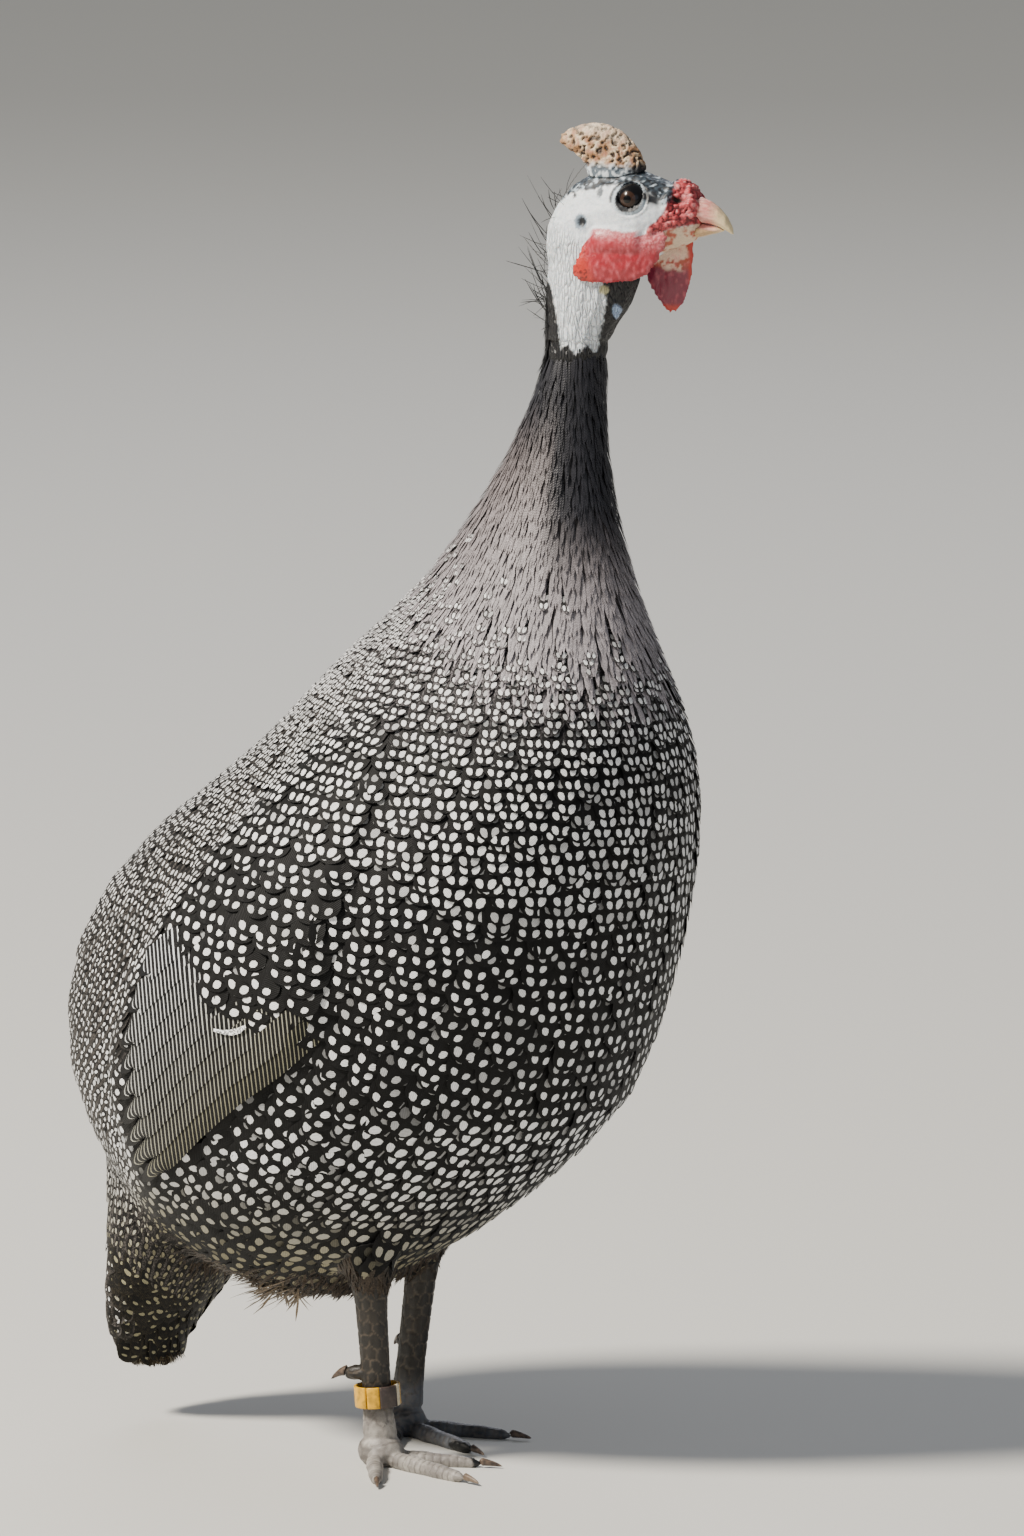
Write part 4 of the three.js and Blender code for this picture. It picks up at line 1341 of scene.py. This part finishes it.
def face_colour(at):
    """White skin, a slate crown with paler flecks, dark lids, a stripe before the eye and spots."""
    x, z, grain = at.x, at.z, at.grain
    line = np.interp(x, [-26, -12, -2, 4, 18, 24, 30], [1, 8.6, 10.5, 12.5, 9.6, 5.4, 3])
    crown = smooth_step(z - line + 1.2 * grain + 0.8 * at.lumps, -0.8, 0.8)
    pale_flecks = smooth_step(noise_at(at.points / MM, 1.9, 31.0) + 0.3 * at.flecks, 0.2, 0.42)
    slate = layered(SLATE, (np.clip(0.5 + 1.6 * grain, 0, 1), SLATE_DARK), (pale_flecks, rgb("aab7c2")))
    beside = smooth_step(at.out, 6, 8)
    round_eye = eye_distance(x, z)
    pale_ring = smooth_step(-np.abs(round_eye - 5.6), -1.0, -0.5)
    lid = smooth_step(-np.abs(round_eye - 4.5), -0.75, -0.4)
    fold = smooth_step(-np.abs(round_eye - 6.9), -0.6, -0.25) * (z > 5) * 0.85
    dark = beside * np.maximum.reduce([lid, fold, (round_eye < 4.5).astype(float)])
    stripe = np.exp(-((z - np.interp(x, [12, 18, 26], [11, 7.6, 5])) / 1.7) ** 2) * smooth_step(x, 14, 17)
    stripe = np.clip(stripe * beside * 1.4, 0, 1) * smooth_step(-x, -25, -21)
    colour = layered(SKIN_WHITE, (np.clip(0.12 + 0.4 * grain, 0, 0.4), SKIN_SHADE), (crown, slate),
                     (beside * pale_ring * 0.8, rgb("a3b1bc")), (dark, SLATE_DARK), (stripe, SLATE_DARK))
    spots = ((EAR[0] - 0.4, EAR[2], 3.3, rgb("8796a4")), (EAR[0], EAR[2], 2.1, SLATE_DARK),
             (-1.7, 9.0, 1.9, SLATE), (-13, 7, 1.2, SLATE_DARK))
    for ahead, up, size, tint in spots:
        reach = np.hypot(x - ahead, (z - up) / 1.15) + 0.8 * at.flecks
        colour = blend(colour, smooth_step(-reach, -size, -size + 0.9) * (at.out > 6), tint)
    return colour


def throat_share(at):
    """Black throat in front and black nape behind, and the white skin's lobed lower edge."""
    x, z, grain = at.x, at.z, at.grain
    limit = np.interp(z, [-62, -50, -42, -34, -27, -18], [-4.5, -3.5, -0.8, 1.3, 0.2, 6])
    throat = smooth_step(x - limit + 0.7 * grain, -0.6, 0.6) * smooth_step(-z, 17, 20)
    nape = np.interp(z, [-58, -38, -29, -23], [-16.5, -20, -23, -30])
    lobes = 1.6 * np.sin(np.arctan2(at.y, x + 11) * 9) + 1.2 * grain
    return np.maximum.reduce([throat, smooth_step(nape - x + 0.7 * grain, -0.5, 0.5),
                              smooth_step(-z + lobes, 53.2, 54.2)])


def cere_colour(at, share, skull):
    """Red-pink cere and gape: dark red painted shade in the hollows, red on the grains and a painted pink
    highlight on the knobs.
    """
    grains = granules(at.points, share)
    # Painted highlight on the knobs' tops, stronger where they stand further from the skull
    knobs = smooth_step(grains * (0.6 + 0.3 * skull) + 0.3 * at.flecks, 0.55, 1.2) * 0.8
    # Painted shade of dark red in the hollows between the grains
    return layered(rgb("64191e"), (smooth_step(grains + 0.15 * skull, 0.15, 0.5), CERE_RED),
                   (knobs, CERE_PINK))


def right_wattle_colour(at, crinkle):
    """Red and crinkled, with pink on the crinkles and a pinker top that are partly its own mottling and
    partly painted highlight, orange with dark flecks toward the rear.
    """
    x, z = at.x, at.z
    # Pinker toward the top: partly the wattle's own mottling, partly a painted highlight on its upper
    # swell
    pink = smooth_step(z + 0.25 * x + 1.5 * at.lumps, -11, -3.5) * (0.25 + 0.5 * (at.flecks > 0.1))
    dark = smooth_step(-x, 2, 6) * smooth_step(at.flecks + 0.5 * at.lumps, 0.25, 0.5) * 0.85
    # Pink on the crinkles: partly own mottling, partly painted highlight
    return layered(WATTLE_RED, (np.clip(0.1 + 0.9 * crinkle, 0, 0.7), WATTLE_PINK), (pink, rgb("dc8f92")),
                   (smooth_step(-x - 0.35 * (z + 16), 3, 8.5), WATTLE_ORANGE), (dark, rgb("4a1512")))


def left_wattle_colour(at, crinkle):
    """Cream with red above, purple below, orange at its front and tip."""
    return layered(WATTLE_CREAM, (smooth_step(at.lumps + 0.6 * at.grain, 0.0, 0.3), rgb("a8452f")),
                   (smooth_step(-at.z + 1.5 * at.lumps, 22, 24.5), WATTLE_PURPLE),
                   # Pink on the crinkles: partly own mottling, partly painted highlight
                   (smooth_step(crinkle, 0.1, 0.5) * 0.35, WATTLE_PINK),
                   (smooth_step(-at.z, 36.5, 38.5), WATTLE_ORANGE),
                   (smooth_step(at.x, 27.5, 29.5), WATTLE_ORANGE))


def head_paint(points, trees):
    """Colours of the bare head, and how surely each point is on a wattle."""
    at = HeadPlaces(points)
    x, y, z, out, grain = at.x, at.y, at.z, at.out, at.grain
    skull, right, left = (gap(points, tree) for tree in trees)
    throat = throat_share(at)
    blue_spot = smooth_step(-np.hypot(x - 4.2, (z + 39) / 2.2), -1.9, -1.2) * smooth_step(out, 3, 4.5)
    cream_spot = smooth_step(-np.hypot(x - 0.4, z + 29.5) - 0.4 * at.flecks, -2.2, -1.5) * (y < 0)
    cere, end_low = cere_share(x, z, grain)
    chin = smooth_step(end_low - z, -0.3, 0.3) * smooth_step(x, 20.5, 22.5) * (1 - throat)
    chin_red = smooth_step(at.lumps + 0.6 * grain, 0.0, 0.4)
    nostril = smooth_step(-nostril_reach(x, z), -1.15, -0.8) * smooth_step(out, 3, 5)
    on_left = smooth_step(skull - left, -0.25, 0.25)
    cheek = above_wattle(x, y, z) * smooth_step(-right - 0.5 * grain, -3.0, -2.5)
    on_right = np.maximum(smooth_step(skull - right, -0.25, 0.25), cheek * (1 - on_left))
    crinkle = noise_at(np.column_stack([x / 1.3, y / 1.5, z / 2.2]), 1.0, 6.0)
    colour = layered(face_colour(at), (throat, THROAT_BLACK), (blue_spot, rgb("9fb4d4")),
                     (cream_spot, rgb("c3bd92")), (cere, cere_colour(at, cere, skull)),
                     (chin, blend(rgb("d8bfa4"), chin_red, rgb("b4563f"))), (nostril, rgb("17120e")),
                     (on_right, right_wattle_colour(at, crinkle)),
                     (on_left, left_wattle_colour(at, crinkle)))
    return colour, np.maximum(on_right, on_left)


def leg_paint(points, side_name):
    """Dark plates with paler joints on the shank, and a grey foot: the right one lighter with painted
    light, the left dark slate with painted shade.
    """
    round_shank, up = leg_places(points, side_name)
    edge, cell = hex_edge(*bent_scutes(points, round_shank, up), SCUTE)
    band = toe_bands(points, side_name)
    grain = noise_at(points / MM, 1.6, 7.0)
    lumps = noise_at(points / MM, 7.0, 9.0)
    scute = layered(rgb("120f0b"), (np.clip(cell * 0.7 + 0.5 * lumps, 0, 1), rgb("231d16")),
                    (smooth_step(-edge, -0.4, -0.12), rgb("443b30")))
    # Painted light on the right foot, painted shade on the left
    main, pale = (rgb("77726e"), rgb("b5b0a8")) if side_name == "right" else (rgb("2d3138"), rgb("62666c"))
    on_shank = smooth_step(up, 13, 17)
    toe_line = (1 - on_shank) * smooth_step(-band, -0.45, -0.15)
    line = np.maximum(toe_line, on_shank * smooth_step(-edge, -0.4, -0.1))
    foot = layered(main, (np.clip(0.4 + 0.8 * lumps, 0, 1), pale), (line * 0.7, rgb("3f3a37")),
                   (np.clip(0.2 + grain, 0, 0.5), rgb("6a645f")))
    return blend(scute, smooth_step(-up - 3 * lumps, -27, -17), foot)


def painted_material(name, roughness, grain_mm, bump, subsurface=0.0, coat=0.0, specular=0.5):
    """A finish whose broad colours lie on the mesh, with fine grain laid over them."""
    material, tree = new_material(name)
    paint = node(tree, "ShaderNodeAttribute", attribute_name="Paint")
    place = node(tree, "ShaderNodeTexCoord")
    grain = node(tree, "ShaderNodeTexNoise",
                 {"Vector": place.outputs["Object"], "Scale": 1 / (grain_mm * MM), "Detail": 3,
                  "Roughness": 0.6})
    middle = {"Value": grain.outputs["Fac"], "From Min": 0.3, "From Max": 0.7}
    level = node(tree, "ShaderNodeMapRange", {**middle, "To Min": 0.84, "To Max": 1.12})
    tinted = node(tree, "ShaderNodeVectorMath", {0: paint.outputs["Color"], "Scale": level.outputs[0]},
                  operation="SCALE")
    rough = node(tree, "ShaderNodeMapRange",
                 {**middle, "To Min": roughness - 0.08, "To Max": roughness + 0.1})
    shader = node(tree, "ShaderNodeBsdfPrincipled",
                  {"Base Color": tinted.outputs[0], "Roughness": rough.outputs[0],
                   "Specular IOR Level": specular, "Subsurface Weight": subsurface,
                   "Subsurface Scale": 0.0012, "Coat Weight": coat, "Coat Roughness": 0.2})
    shader.inputs["Subsurface Radius"].default_value = (1.0, 0.35, 0.2)
    surface(tree, shader, grain.outputs["Fac"], bump, 0.0003)
    return material


def folded(material):
    """Adds the fine upright folds of a bare neck to a finish: creases 1.4 mm apart and 5 mm long, with
    painted shade darkening them.
    """
    tree = material.node_tree
    place = node(tree, "ShaderNodeTexCoord")
    sizes = node(tree, "ShaderNodeVectorMath", {0: place.outputs["Object"], 1: (720, 720, 190)},
                 operation="MULTIPLY")
    crease = node(tree, "ShaderNodeTexVoronoi",
                  {"Vector": sizes.outputs[0], "Scale": 1, "Randomness": 0.9}, feature="DISTANCE_TO_EDGE")
    low = node(tree, "ShaderNodeAttribute", attribute_name="Fold")
    depth = node(tree, "ShaderNodeMapRange", {"Value": crease.outputs["Distance"], "From Max": 0.22})
    height = node(tree, "ShaderNodeMath", {0: depth.outputs[0], 1: low.outputs["Fac"]},
                  operation="MULTIPLY")
    shader = next(n for n in tree.nodes if n.type == "BSDF_PRINCIPLED")
    fine = shader.inputs["Normal"].links[0].from_socket
    bump = node(tree, "ShaderNodeBump", {"Height": height.outputs[0], "Strength": 0.8, "Distance": 0.0006,
                                         "Normal": fine})
    tree.links.new(bump.outputs[0], shader.inputs["Normal"])
    # Painted shade: the colour darkens in the creases
    shade = node(tree, "ShaderNodeMapRange",
                 {"Value": crease.outputs["Distance"], "From Max": 0.12, "To Min": 0.62})
    part = node(tree, "ShaderNodeMix", {0: low.outputs["Fac"], 2: 1.0, 3: shade.outputs[0]})
    colour = shader.inputs["Base Color"].links[0].from_socket
    tinted = node(tree, "ShaderNodeVectorMath", {0: colour, "Scale": part.outputs[0]}, operation="SCALE")
    tree.links.new(tinted.outputs[0], shader.inputs["Base Color"])
    return material


def set_paint(mesh, colours):
    """Lays colours on a mesh's corners for painted_material to read."""
    paint = mesh.color_attributes.new("Paint", "FLOAT_COLOR", "POINT")
    fill(paint.data, "color", np.column_stack([np.clip(colours, 0, 1), np.ones(len(colours))]))


# Voxels of the skin's parts, as fine as each needs
CORE_VOXEL = 0.0048
HEAD_VOXEL = 0.00062
LEG_VOXEL = 0.00078
# The skin below this height and ahead of this place is that of the legs
LEG_TOP = 0.088
LEG_BACK = -0.06


def make_head(trees):
    """The head with its wattles and knobs, and the top of the neck cut off below the feathers."""
    knobs = make_knobs(trees[0])
    bm = merged(["neck_upper"])
    bmesh.ops.bisect_plane(bm, geom=bm.verts[:] + bm.edges[:] + bm.faces[:], clear_outer=True,
                           plane_co=(0, 0, NECK_LINE - 0.018), plane_no=(0, 0, -1))
    bmesh.ops.holes_fill(bm, edges=bm.edges, sides=0)
    for vert in bm.verts:
        vert.co.z += 0.0004
    parts = merged(["head", "wattle_right", "wattle_left"], mesh_from("Throat", bm), 0.0001)
    parts.from_mesh(knobs)
    head = remeshed("Head", mesh_from("Head", parts), HEAD_VOXEL, 5)
    shape_head(head, trees)
    return head


def make_leg(side_name):
    """A thigh, shank and foot in one, with its plates and bands."""
    names = [f"{part}_{side_name}" for part in ("thigh", "shank", "foot_pad")]
    names += [f"toe_{toe}_{side_name}" for toe in TOES]
    leg = remeshed("Leg", mesh_from("Leg", merged(names, grow=0.0001)), LEG_VOXEL, 7)
    shape_leg(leg, side_name)
    return leg


def paint_skin(mesh, trees):
    """Colours, folds and finishes of the skin, the same under the coat as those of the coat."""
    points = coordinates(mesh)
    height = points[:, 2]
    turn = np.arctan2(points[:, 1], points[:, 0] - np.array([coat_wrap.middle(z) for z in height]))
    plain = smooth_step(height, spots_top(turn) - 0.02, spots_top(turn) + 0.01)
    colours = blend(coat_colour(points, turn)[0], plain, neck_colour(points, turn) * 0.8)
    in_head = height > NECK_LINE - 0.012
    on_wattle = np.zeros(len(points))
    colours[in_head], on_wattle[in_head] = head_paint(points[in_head], trees)
    in_leg = (height < LEG_TOP) & (points[:, 0] > LEG_BACK)
    for side_name, side in SIDES.items():
        here = in_leg & (points[:, 1] * side > 0.012)
        colours[here] = leg_paint(points[here], side_name)
    set_paint(mesh, colours)
    place = to_head(points)
    folds = smooth_step(-place[:, 2] - 0.5 * place[:, 0], 10, 20) * in_head
    fill(mesh.attributes.new("Fold", "FLOAT", "POINT").data, "value", folds)
    mesh.materials.clear()
    for material in (body_skin, face_skin, wattle_skin, leg_skin):
        mesh.materials.append(material)
    corner = read(mesh.loops, "vertex_index", kind=np.int32)
    first = corner[read(mesh.polygons, "loop_start", kind=np.int32)]
    index = np.where(in_head[first], 1, 0)
    index[on_wattle[first] > 0.5] = 2
    index[in_leg[first]] = 3
    fill(mesh.polygons, "material_index", index, np.int32)


def make_skin():
    """One closed skin in place of all the solids of flesh."""
    core = remeshed("Core", mesh_from("Core", merged(COAT_NODES, grow=OVERLAP)), CORE_VOXEL, 6)
    shrunk(core, body_depth)
    trees = [tree_of(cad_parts[name]) for name in ("head", "wattle_right", "wattle_left")]
    head = make_head(trees)
    mesh = fused(core, [head, *(make_leg(side_name) for side_name in SIDES)])
    mesh.name = "Skin"
    paint_skin(mesh, trees)
    replaced = BODY_NODES + ["tail", "head", "wattle_right", "wattle_left"]
    replaced += [f"{part}_{side}" for side in SIDES for part in ("thigh", "shank", "foot_pad")]
    replaced += [f"toe_{toe}_{side}" for side in SIDES for toe in TOES]
    finished(link("Skin", mesh), replaced)


# Horn, eyes and ring

def horn_piece(name, nodes, voxel, rounds, colour_at, shape_at, material):
    """An even mesh over a hard part, shaped and coloured by functions of its points."""
    thing = remeshed(name, mesh_from(name, merged(nodes)), voxel, rounds)
    points, normals = coordinates(thing.data), vertex_normals(thing.data)
    set_coordinates(thing.data, points + normals * (shape_at(points) * MM)[:, None])
    set_paint(thing.data, colour_at(points))
    thing.data.materials.clear()
    thing.data.materials.append(material)
    finished(thing, nodes)


def casque_noise(points):
    return [noise_at(points / MM, size, seed) for size, seed in ((3.2, 11.0), (1.7, 12.0), (0.8, 13.0))]


def casque_colour(points):
    """Sandy horn, blotched and pitted brown, over a streaked slate base."""
    x, _, z = to_head(points).T
    broad, middling, fine = casque_noise(points)
    streaked = layered(rgb("56616b"), (smooth_step(middling, -0.05, 0.25), rgb("c6cdd2")),
                       (smooth_step(x, 8, 11), SLATE_DARK))
    return layered(rgb("ad8a68"), (smooth_step(broad, -0.1, 0.35), rgb("d2bd9f")),
                   (smooth_step(-broad, 0.1, 0.4), rgb("86613f")),
                   (smooth_step(middling, 0.15, 0.45) * 0.6, rgb("a3674f")),
                   (smooth_step(-middling - 0.3 * fine, 0.1, 0.3), rgb("3a291d")),
                   (smooth_step(z + 0.25 * x, 27, 31) * 0.4, rgb("dccdb8")),
                   (smooth_step(-z + 1.5 * broad + middling, -21, -17.5), streaked))


def casque_shape(points):
    z = to_head(points)[:, 2]
    _, middling, fine = casque_noise(points)
    rough = smooth_step(z, 15, 20)
    pits = 0.75 * smooth_step(-middling - 0.3 * fine, 0.0, 0.4)
    return rough * (0.3 * fine - pits) + 0.3 * middling * (1 - rough)


def bill_colour(points):
    """Pink at the root, cream toward the tip, yellower along the lower half."""
    x, y, z = to_head(points).T
    streak = noise_at(np.column_stack([x / 6, y, z]), 0.8, 15.0)
    lower = smooth_step(-z - 0.2 * (x - 30), 2.6, 3.4) * smooth_step(-x, -46, -44)
    return layered(rgb("cf7f78"), (np.clip(0.4 + streak, 0, 0.85), rgb("e6b3a4")),
                   (smooth_step(x, 40, 47), rgb("e8d2a4")), (lower * 0.75, rgb("b9a06a")))


def bill_shape(points):
    return 0.08 * noise_at(points / MM, 2.0, 16.0)


def claw_colour(points):
    grain = noise_at(points / MM, 1.4, 17.0)
    tip = smooth_step(points[:, 0], 0.06, 0.075)
    return layered(rgb("3a302a"), (np.clip(0.4 + grain, 0, 0.8), rgb("6d5b4c")),
                   (tip * 0.4, rgb("8d7a66")))


def claw_shape(points):
    """Claws are smooth, so nothing is raised or sunk."""
    return 0 * points[:, 0]


def eye_material():
    """Glass eye: a dark pupil and brown iris under a clear wet cornea."""
    material, tree = new_material("Glass eye, clear and wet")
    ball = node(tree, "ShaderNodeUVMap", uv_map="Ball")
    parts = node(tree, "ShaderNodeSeparateXYZ", {0: ball.outputs[0]})
    ray = node(tree, "ShaderNodeTexNoise", {"Vector": ball.outputs[0], "Scale": 26, "Detail": 2})
    # The pupil is 3.2 mm across and the iris 6.7 mm, measured round the ball
    iris = node(tree, "ShaderNodeMapRange", {"Value": parts.outputs[0], "From Min": 1.5, "From Max": 1.7})
    rim = node(tree, "ShaderNodeMapRange", {"Value": parts.outputs[0], "From Min": 3.2, "From Max": 3.5})
    brown = node(tree, "ShaderNodeMix", {0: ray.outputs["Fac"], 6: linear("1d120c"), 7: linear("3d2a20")},
                 data_type="RGBA")
    inner = node(tree, "ShaderNodeMix", {0: iris.outputs[0], 6: linear("050506"), 7: brown.outputs[2]},
                 data_type="RGBA")
    whole = node(tree, "ShaderNodeMix", {0: rim.outputs[0], 6: inner.outputs[2], 7: linear("08080a")},
                 data_type="RGBA")
    shader = node(tree, "ShaderNodeBsdfPrincipled", {"Base Color": whole.outputs[2], "Roughness": 0.25,
                                                     "Specular IOR Level": 0.15,
                                                     "Coat Weight": 0.7, "Coat Roughness": 0.02,
                                                     "Coat IOR": 1.33})
    surface(tree, shader)
    return material


def make_eyes():
    """Balls with a slight bulge over the iris, turned outward and a little forward."""
    material = eye_material()
    for side_name, side in SIDES.items():
        low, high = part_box(f"eye_{side_name}")
        centre, radius = (low + high) / 2, (high[2] - low[2]) / 2
        axis = (HEAD_PLACE.to_3x3() @ Vector((-0.02, side, 0.05))).normalized()
        bm = bmesh.new()
        bmesh.ops.create_uvsphere(bm, u_segments=48, v_segments=32, radius=radius)
        layer = bm.loops.layers.uv.new("Ball")
        for face in bm.faces:
            for loop in face.loops:
                place = loop.vert.co
                out = math.acos(max(-1, min(1, place.z / radius))) * radius / MM
                loop[layer].uv = (out, math.atan2(place.y, place.x) * 0.4)
        for vert in bm.verts:
            bulge = math.exp(-((math.hypot(vert.co.x, vert.co.y) / MM) / 3.0) ** 2) * (vert.co.z > 0)
            vert.co.z += bulge * 0.35 * MM
        turn = axis.to_track_quat("Z", "Y").to_matrix().to_4x4()
        bmesh.ops.transform(bm, matrix=Matrix.Translation(centre) @ turn, verts=bm.verts)
        eye = link("Eye" + side_name.title(), mesh_from("Eye", bm))
        eye.data.materials.append(material)
        finished(eye, [f"eye_{side_name}"])


def ring_arc(name, from_deg, to_deg, inner, outer, low, high, centre, material, replaced):
    """A bent strip of ring with rounded edges."""
    bm = bmesh.new()
    section = ((inner, low), (outer, low), (outer, high), (inner, high))
    corners = [bm.verts.new((x, 0, z)) for x, z in section]
    bm.faces.new(corners)
    bmesh.ops.bevel(bm, geom=corners, offset=0.0004, offset_type="OFFSET", segments=3, profile=0.5,
                    affect="VERTICES", material=-1)
    turn = Matrix.Rotation(math.radians(from_deg), 4, "Z")
    bmesh.ops.transform(bm, matrix=turn, verts=bm.verts)
    steps = max(4, round((to_deg - from_deg) / 5))
    bmesh.ops.spin(bm, geom=bm.verts[:] + bm.edges[:] + bm.faces[:], cent=(0, 0, 0), axis=(0, 0, 1),
                   angle=math.radians(to_deg - from_deg), steps=steps, use_merge=False)
    bmesh.ops.recalc_face_normals(bm, faces=bm.faces)
    # The ring hangs a little lower behind the leg
    tilt_axis = Vector((math.sin(VIEW_AZIMUTH), -math.cos(VIEW_AZIMUTH), 0))
    tilt = Matrix.Rotation(math.radians(4), 3, tilt_axis)
    bmesh.ops.rotate(bm, cent=(0, 0, (low + high) / 2), matrix=tilt, verts=bm.verts)
    bmesh.ops.translate(bm, vec=centre, verts=bm.verts)
    thing = link(name, mesh_from(name, bm))
    thing.data.materials.append(material)
    return finished(thing, replaced)


def plastic(name, main, worn, roughness):
    """Moulded ring plastic: even colour, fine scuffs and grime."""
    material, tree = new_material(name)
    place = node(tree, "ShaderNodeTexCoord")
    grime = node(tree, "ShaderNodeTexNoise",
                 {"Vector": place.outputs["Object"], "Scale": 420, "Detail": 4})
    share = node(tree, "ShaderNodeMapRange",
                 {"Value": grime.outputs["Fac"], "From Min": 0.45, "From Max": 0.72})
    colour = node(tree, "ShaderNodeMix", {0: share.outputs[0], 6: linear(main), 7: linear(worn)},
                  data_type="RGBA")
    rough = node(tree, "ShaderNodeMapRange",
                 {"Value": grime.outputs["Fac"], "To Min": roughness - 0.1, "To Max": roughness + 0.2})
    shader = node(tree, "ShaderNodeBsdfPrincipled",
                  {"Base Color": colour.outputs[2], "Roughness": rough.outputs[0]})
    surface(tree, shader, grime.outputs["Fac"], 0.15, 0.0001)
    return material


def make_ring():
    """The plastic leg ring: two yellow parts, a dark panel and a pale edge, with dark joints between."""
    low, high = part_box("leg_ring")
    outer, inner = 0.0092, 0.008
    centre = Vector((low[0] + outer, low[1] + outer, 0))
    yellow = plastic("Yellow ring plastic, glossy", "dda604", "a37a0c", 0.3)
    brown = plastic("Dark brown ring plastic, glossy", "352b28", "4d403a", 0.35)
    pale = plastic("Pale ring plastic, worn", "c9bfa4", "9a8c70", 0.4)
    # Each part's name, turns in degrees, inner and outer radius, inset, plastic, slot and solid
    parts = (
        ("RingBand", 26, 277, inner, outer, 0, yellow, "ring_band", []),
        ("RingBandEnd", 281, 314.5, inner, outer, 0, yellow, "ring_band", ["leg_ring"]),
        ("RingEdge", 7, 25, inner, outer, 0, pale, "ring_band", []),
        ("RingPanel", -45, 4, inner, outer + 0.0002, 0, brown, "ring_panel", []),
        ("RingLiner", -90, 12, inner - 0.0003, inner + 0.0003, 0.0002, brown, "ring_panel",
         ["leg_ring_panel"]),
    )
    for name, start, end, near, far, inset, material, slot, replaced in parts:
        ring_arc(name, start, end, near, far, low[2] + inset, high[2] - inset, centre, material,
                 replaced)


HAIR_BLACK = rgb("0d0d10")


def nape_hairs():
    """Sparse black hair-like feathers standing up from the nape."""
    count = 85
    z = 6 - 58 * random.random(count)
    back = np.interp(z, [-52, -40, -20, -10, 0, 6], [-21, -25.5, -25.5, -24, -22, -18])
    y = random.normal(0, 3.4, count)
    roots = from_head(np.column_stack([back + y ** 2 * 0.045, y, z]))
    jitter = random.normal(0, 1, (count, 3))
    lean = np.column_stack([-0.75 + 0.25 * jitter[:, 0], y * 0.07 + 0.2 * jitter[:, 1],
                            0.55 + 0.35 * jitter[:, 2]])
    lean = unit(lean) @ np.array(HEAD_PLACE.to_3x3()).T
    length = 0.0055 + 0.0085 * random.random(count) ** 1.5
    t = np.linspace(0, 1, 6)[None, :, None]
    curl = (np.array((0, 0, 1.0)) * 0.4 + 0.5 * jitter)[:, None] * t ** 2
    lines = roots[:, None] + (lean[:, None] * t + curl * 0.6) * length[:, None, None]
    across = np.cross(lean, np.column_stack([jitter[:, 1], jitter[:, 2], 1 + 0 * y]))
    normals = np.repeat(unit(across)[:, None], 6, 1)
    colour = np.tile(HAIR_BLACK, (count, 1))
    unwrap = unwrap_of(roots[:, 2], np.full(count, math.pi))
    return laid(plain_vane(2, 6, 0.3, 0.0), lines, normals, 0.00034, length, colour, colour, unwrap)


def nape_strip():
    """A dense strip of short black feathers down the nape, wider toward the neck."""
    count = 620
    rise = random.random(count)
    y = (3.0 + 6.5 * rise ** 0.7) * random.uniform(-1, 1, count)
    place = from_head(np.column_stack([np.full(count, -27), y, -25 - 33 * rise]))
    roots, _ = nearest(head_tree, place)
    colour = HAIR_BLACK * (0.7 + random.random((count, 1)))
    length = 0.0075 + 0.003 * random.random(count)
    unwrap = unwrap_of(roots[:, 2], np.full(count, math.pi))
    return strands(head_tree, roots, length, 0.0009, colour, unwrap, sink=0.0006, loose=0.0006, stray=0.2,
                   run=straight(-0.15, 0.0, -1.0))


def make_hairs():
    build_coat("NapeHairs", [nape_hairs(), nape_strip()], (neck_vane, neck_vane))


# Matt and dull, hardly seen between the feathers
body_skin = painted_material("Skin beneath the plumage, matt", roughness=0.7, grain_mm=1.5, bump=0.2)
# Chalky and finely grained, with upright folds low on the cheek and neck and painted shade in their
# creases
face_skin = folded(painted_material("Bare wrinkled facial skin, satin", roughness=0.5, grain_mm=0.7,
                                    bump=0.35, subsurface=0.08))
# Moist, so that it shines a little and light glows in its thin edges
wattle_skin = painted_material("Fleshy wattle skin, moist satin", roughness=0.38, grain_mm=0.6, bump=0.4,
                               subsurface=0.08, coat=0.12)
# Dry plates with a low shine
leg_skin = painted_material("Horny leg scutes, satin", roughness=0.5, grain_mm=0.5, bump=0.35)
# Porous and weathered, so it never shines
rough_horn = painted_material("Rough pitted helmet horn, matt", roughness=0.62, grain_mm=0.7, bump=0.6)
# Dense and worn smooth, so that light softens in it
bill_horn = painted_material("Smooth bill horn, waxy", roughness=0.36, grain_mm=0.9, bump=0.1,
                             subsurface=0.1, coat=0.1)
# Polished by the ground
claw_horn = painted_material("Claw horn, polished by wear", roughness=0.4, grain_mm=0.6, bump=0.15)

make_skin()
make_eyes()
horn_piece("Helmet", ["casque"], 0.00045, 14, casque_colour, casque_shape, rough_horn)
for half in ("upper", "lower"):
    horn_piece("Bill" + half.title(), [f"bill_{half}"], 0.0004, 14, bill_colour, bill_shape, bill_horn)
claw_nodes = [f"claw_{toe}_{side}" for side in SIDES for toe in TOES]
horn_piece("Claws", claw_nodes, 0.0003, 8, claw_colour, claw_shape, claw_horn)
make_ring()
make_spotted()
make_neck()
make_quills()
make_tail()
make_fluff()
make_hairs()

for thing in forms:
    drop(thing)
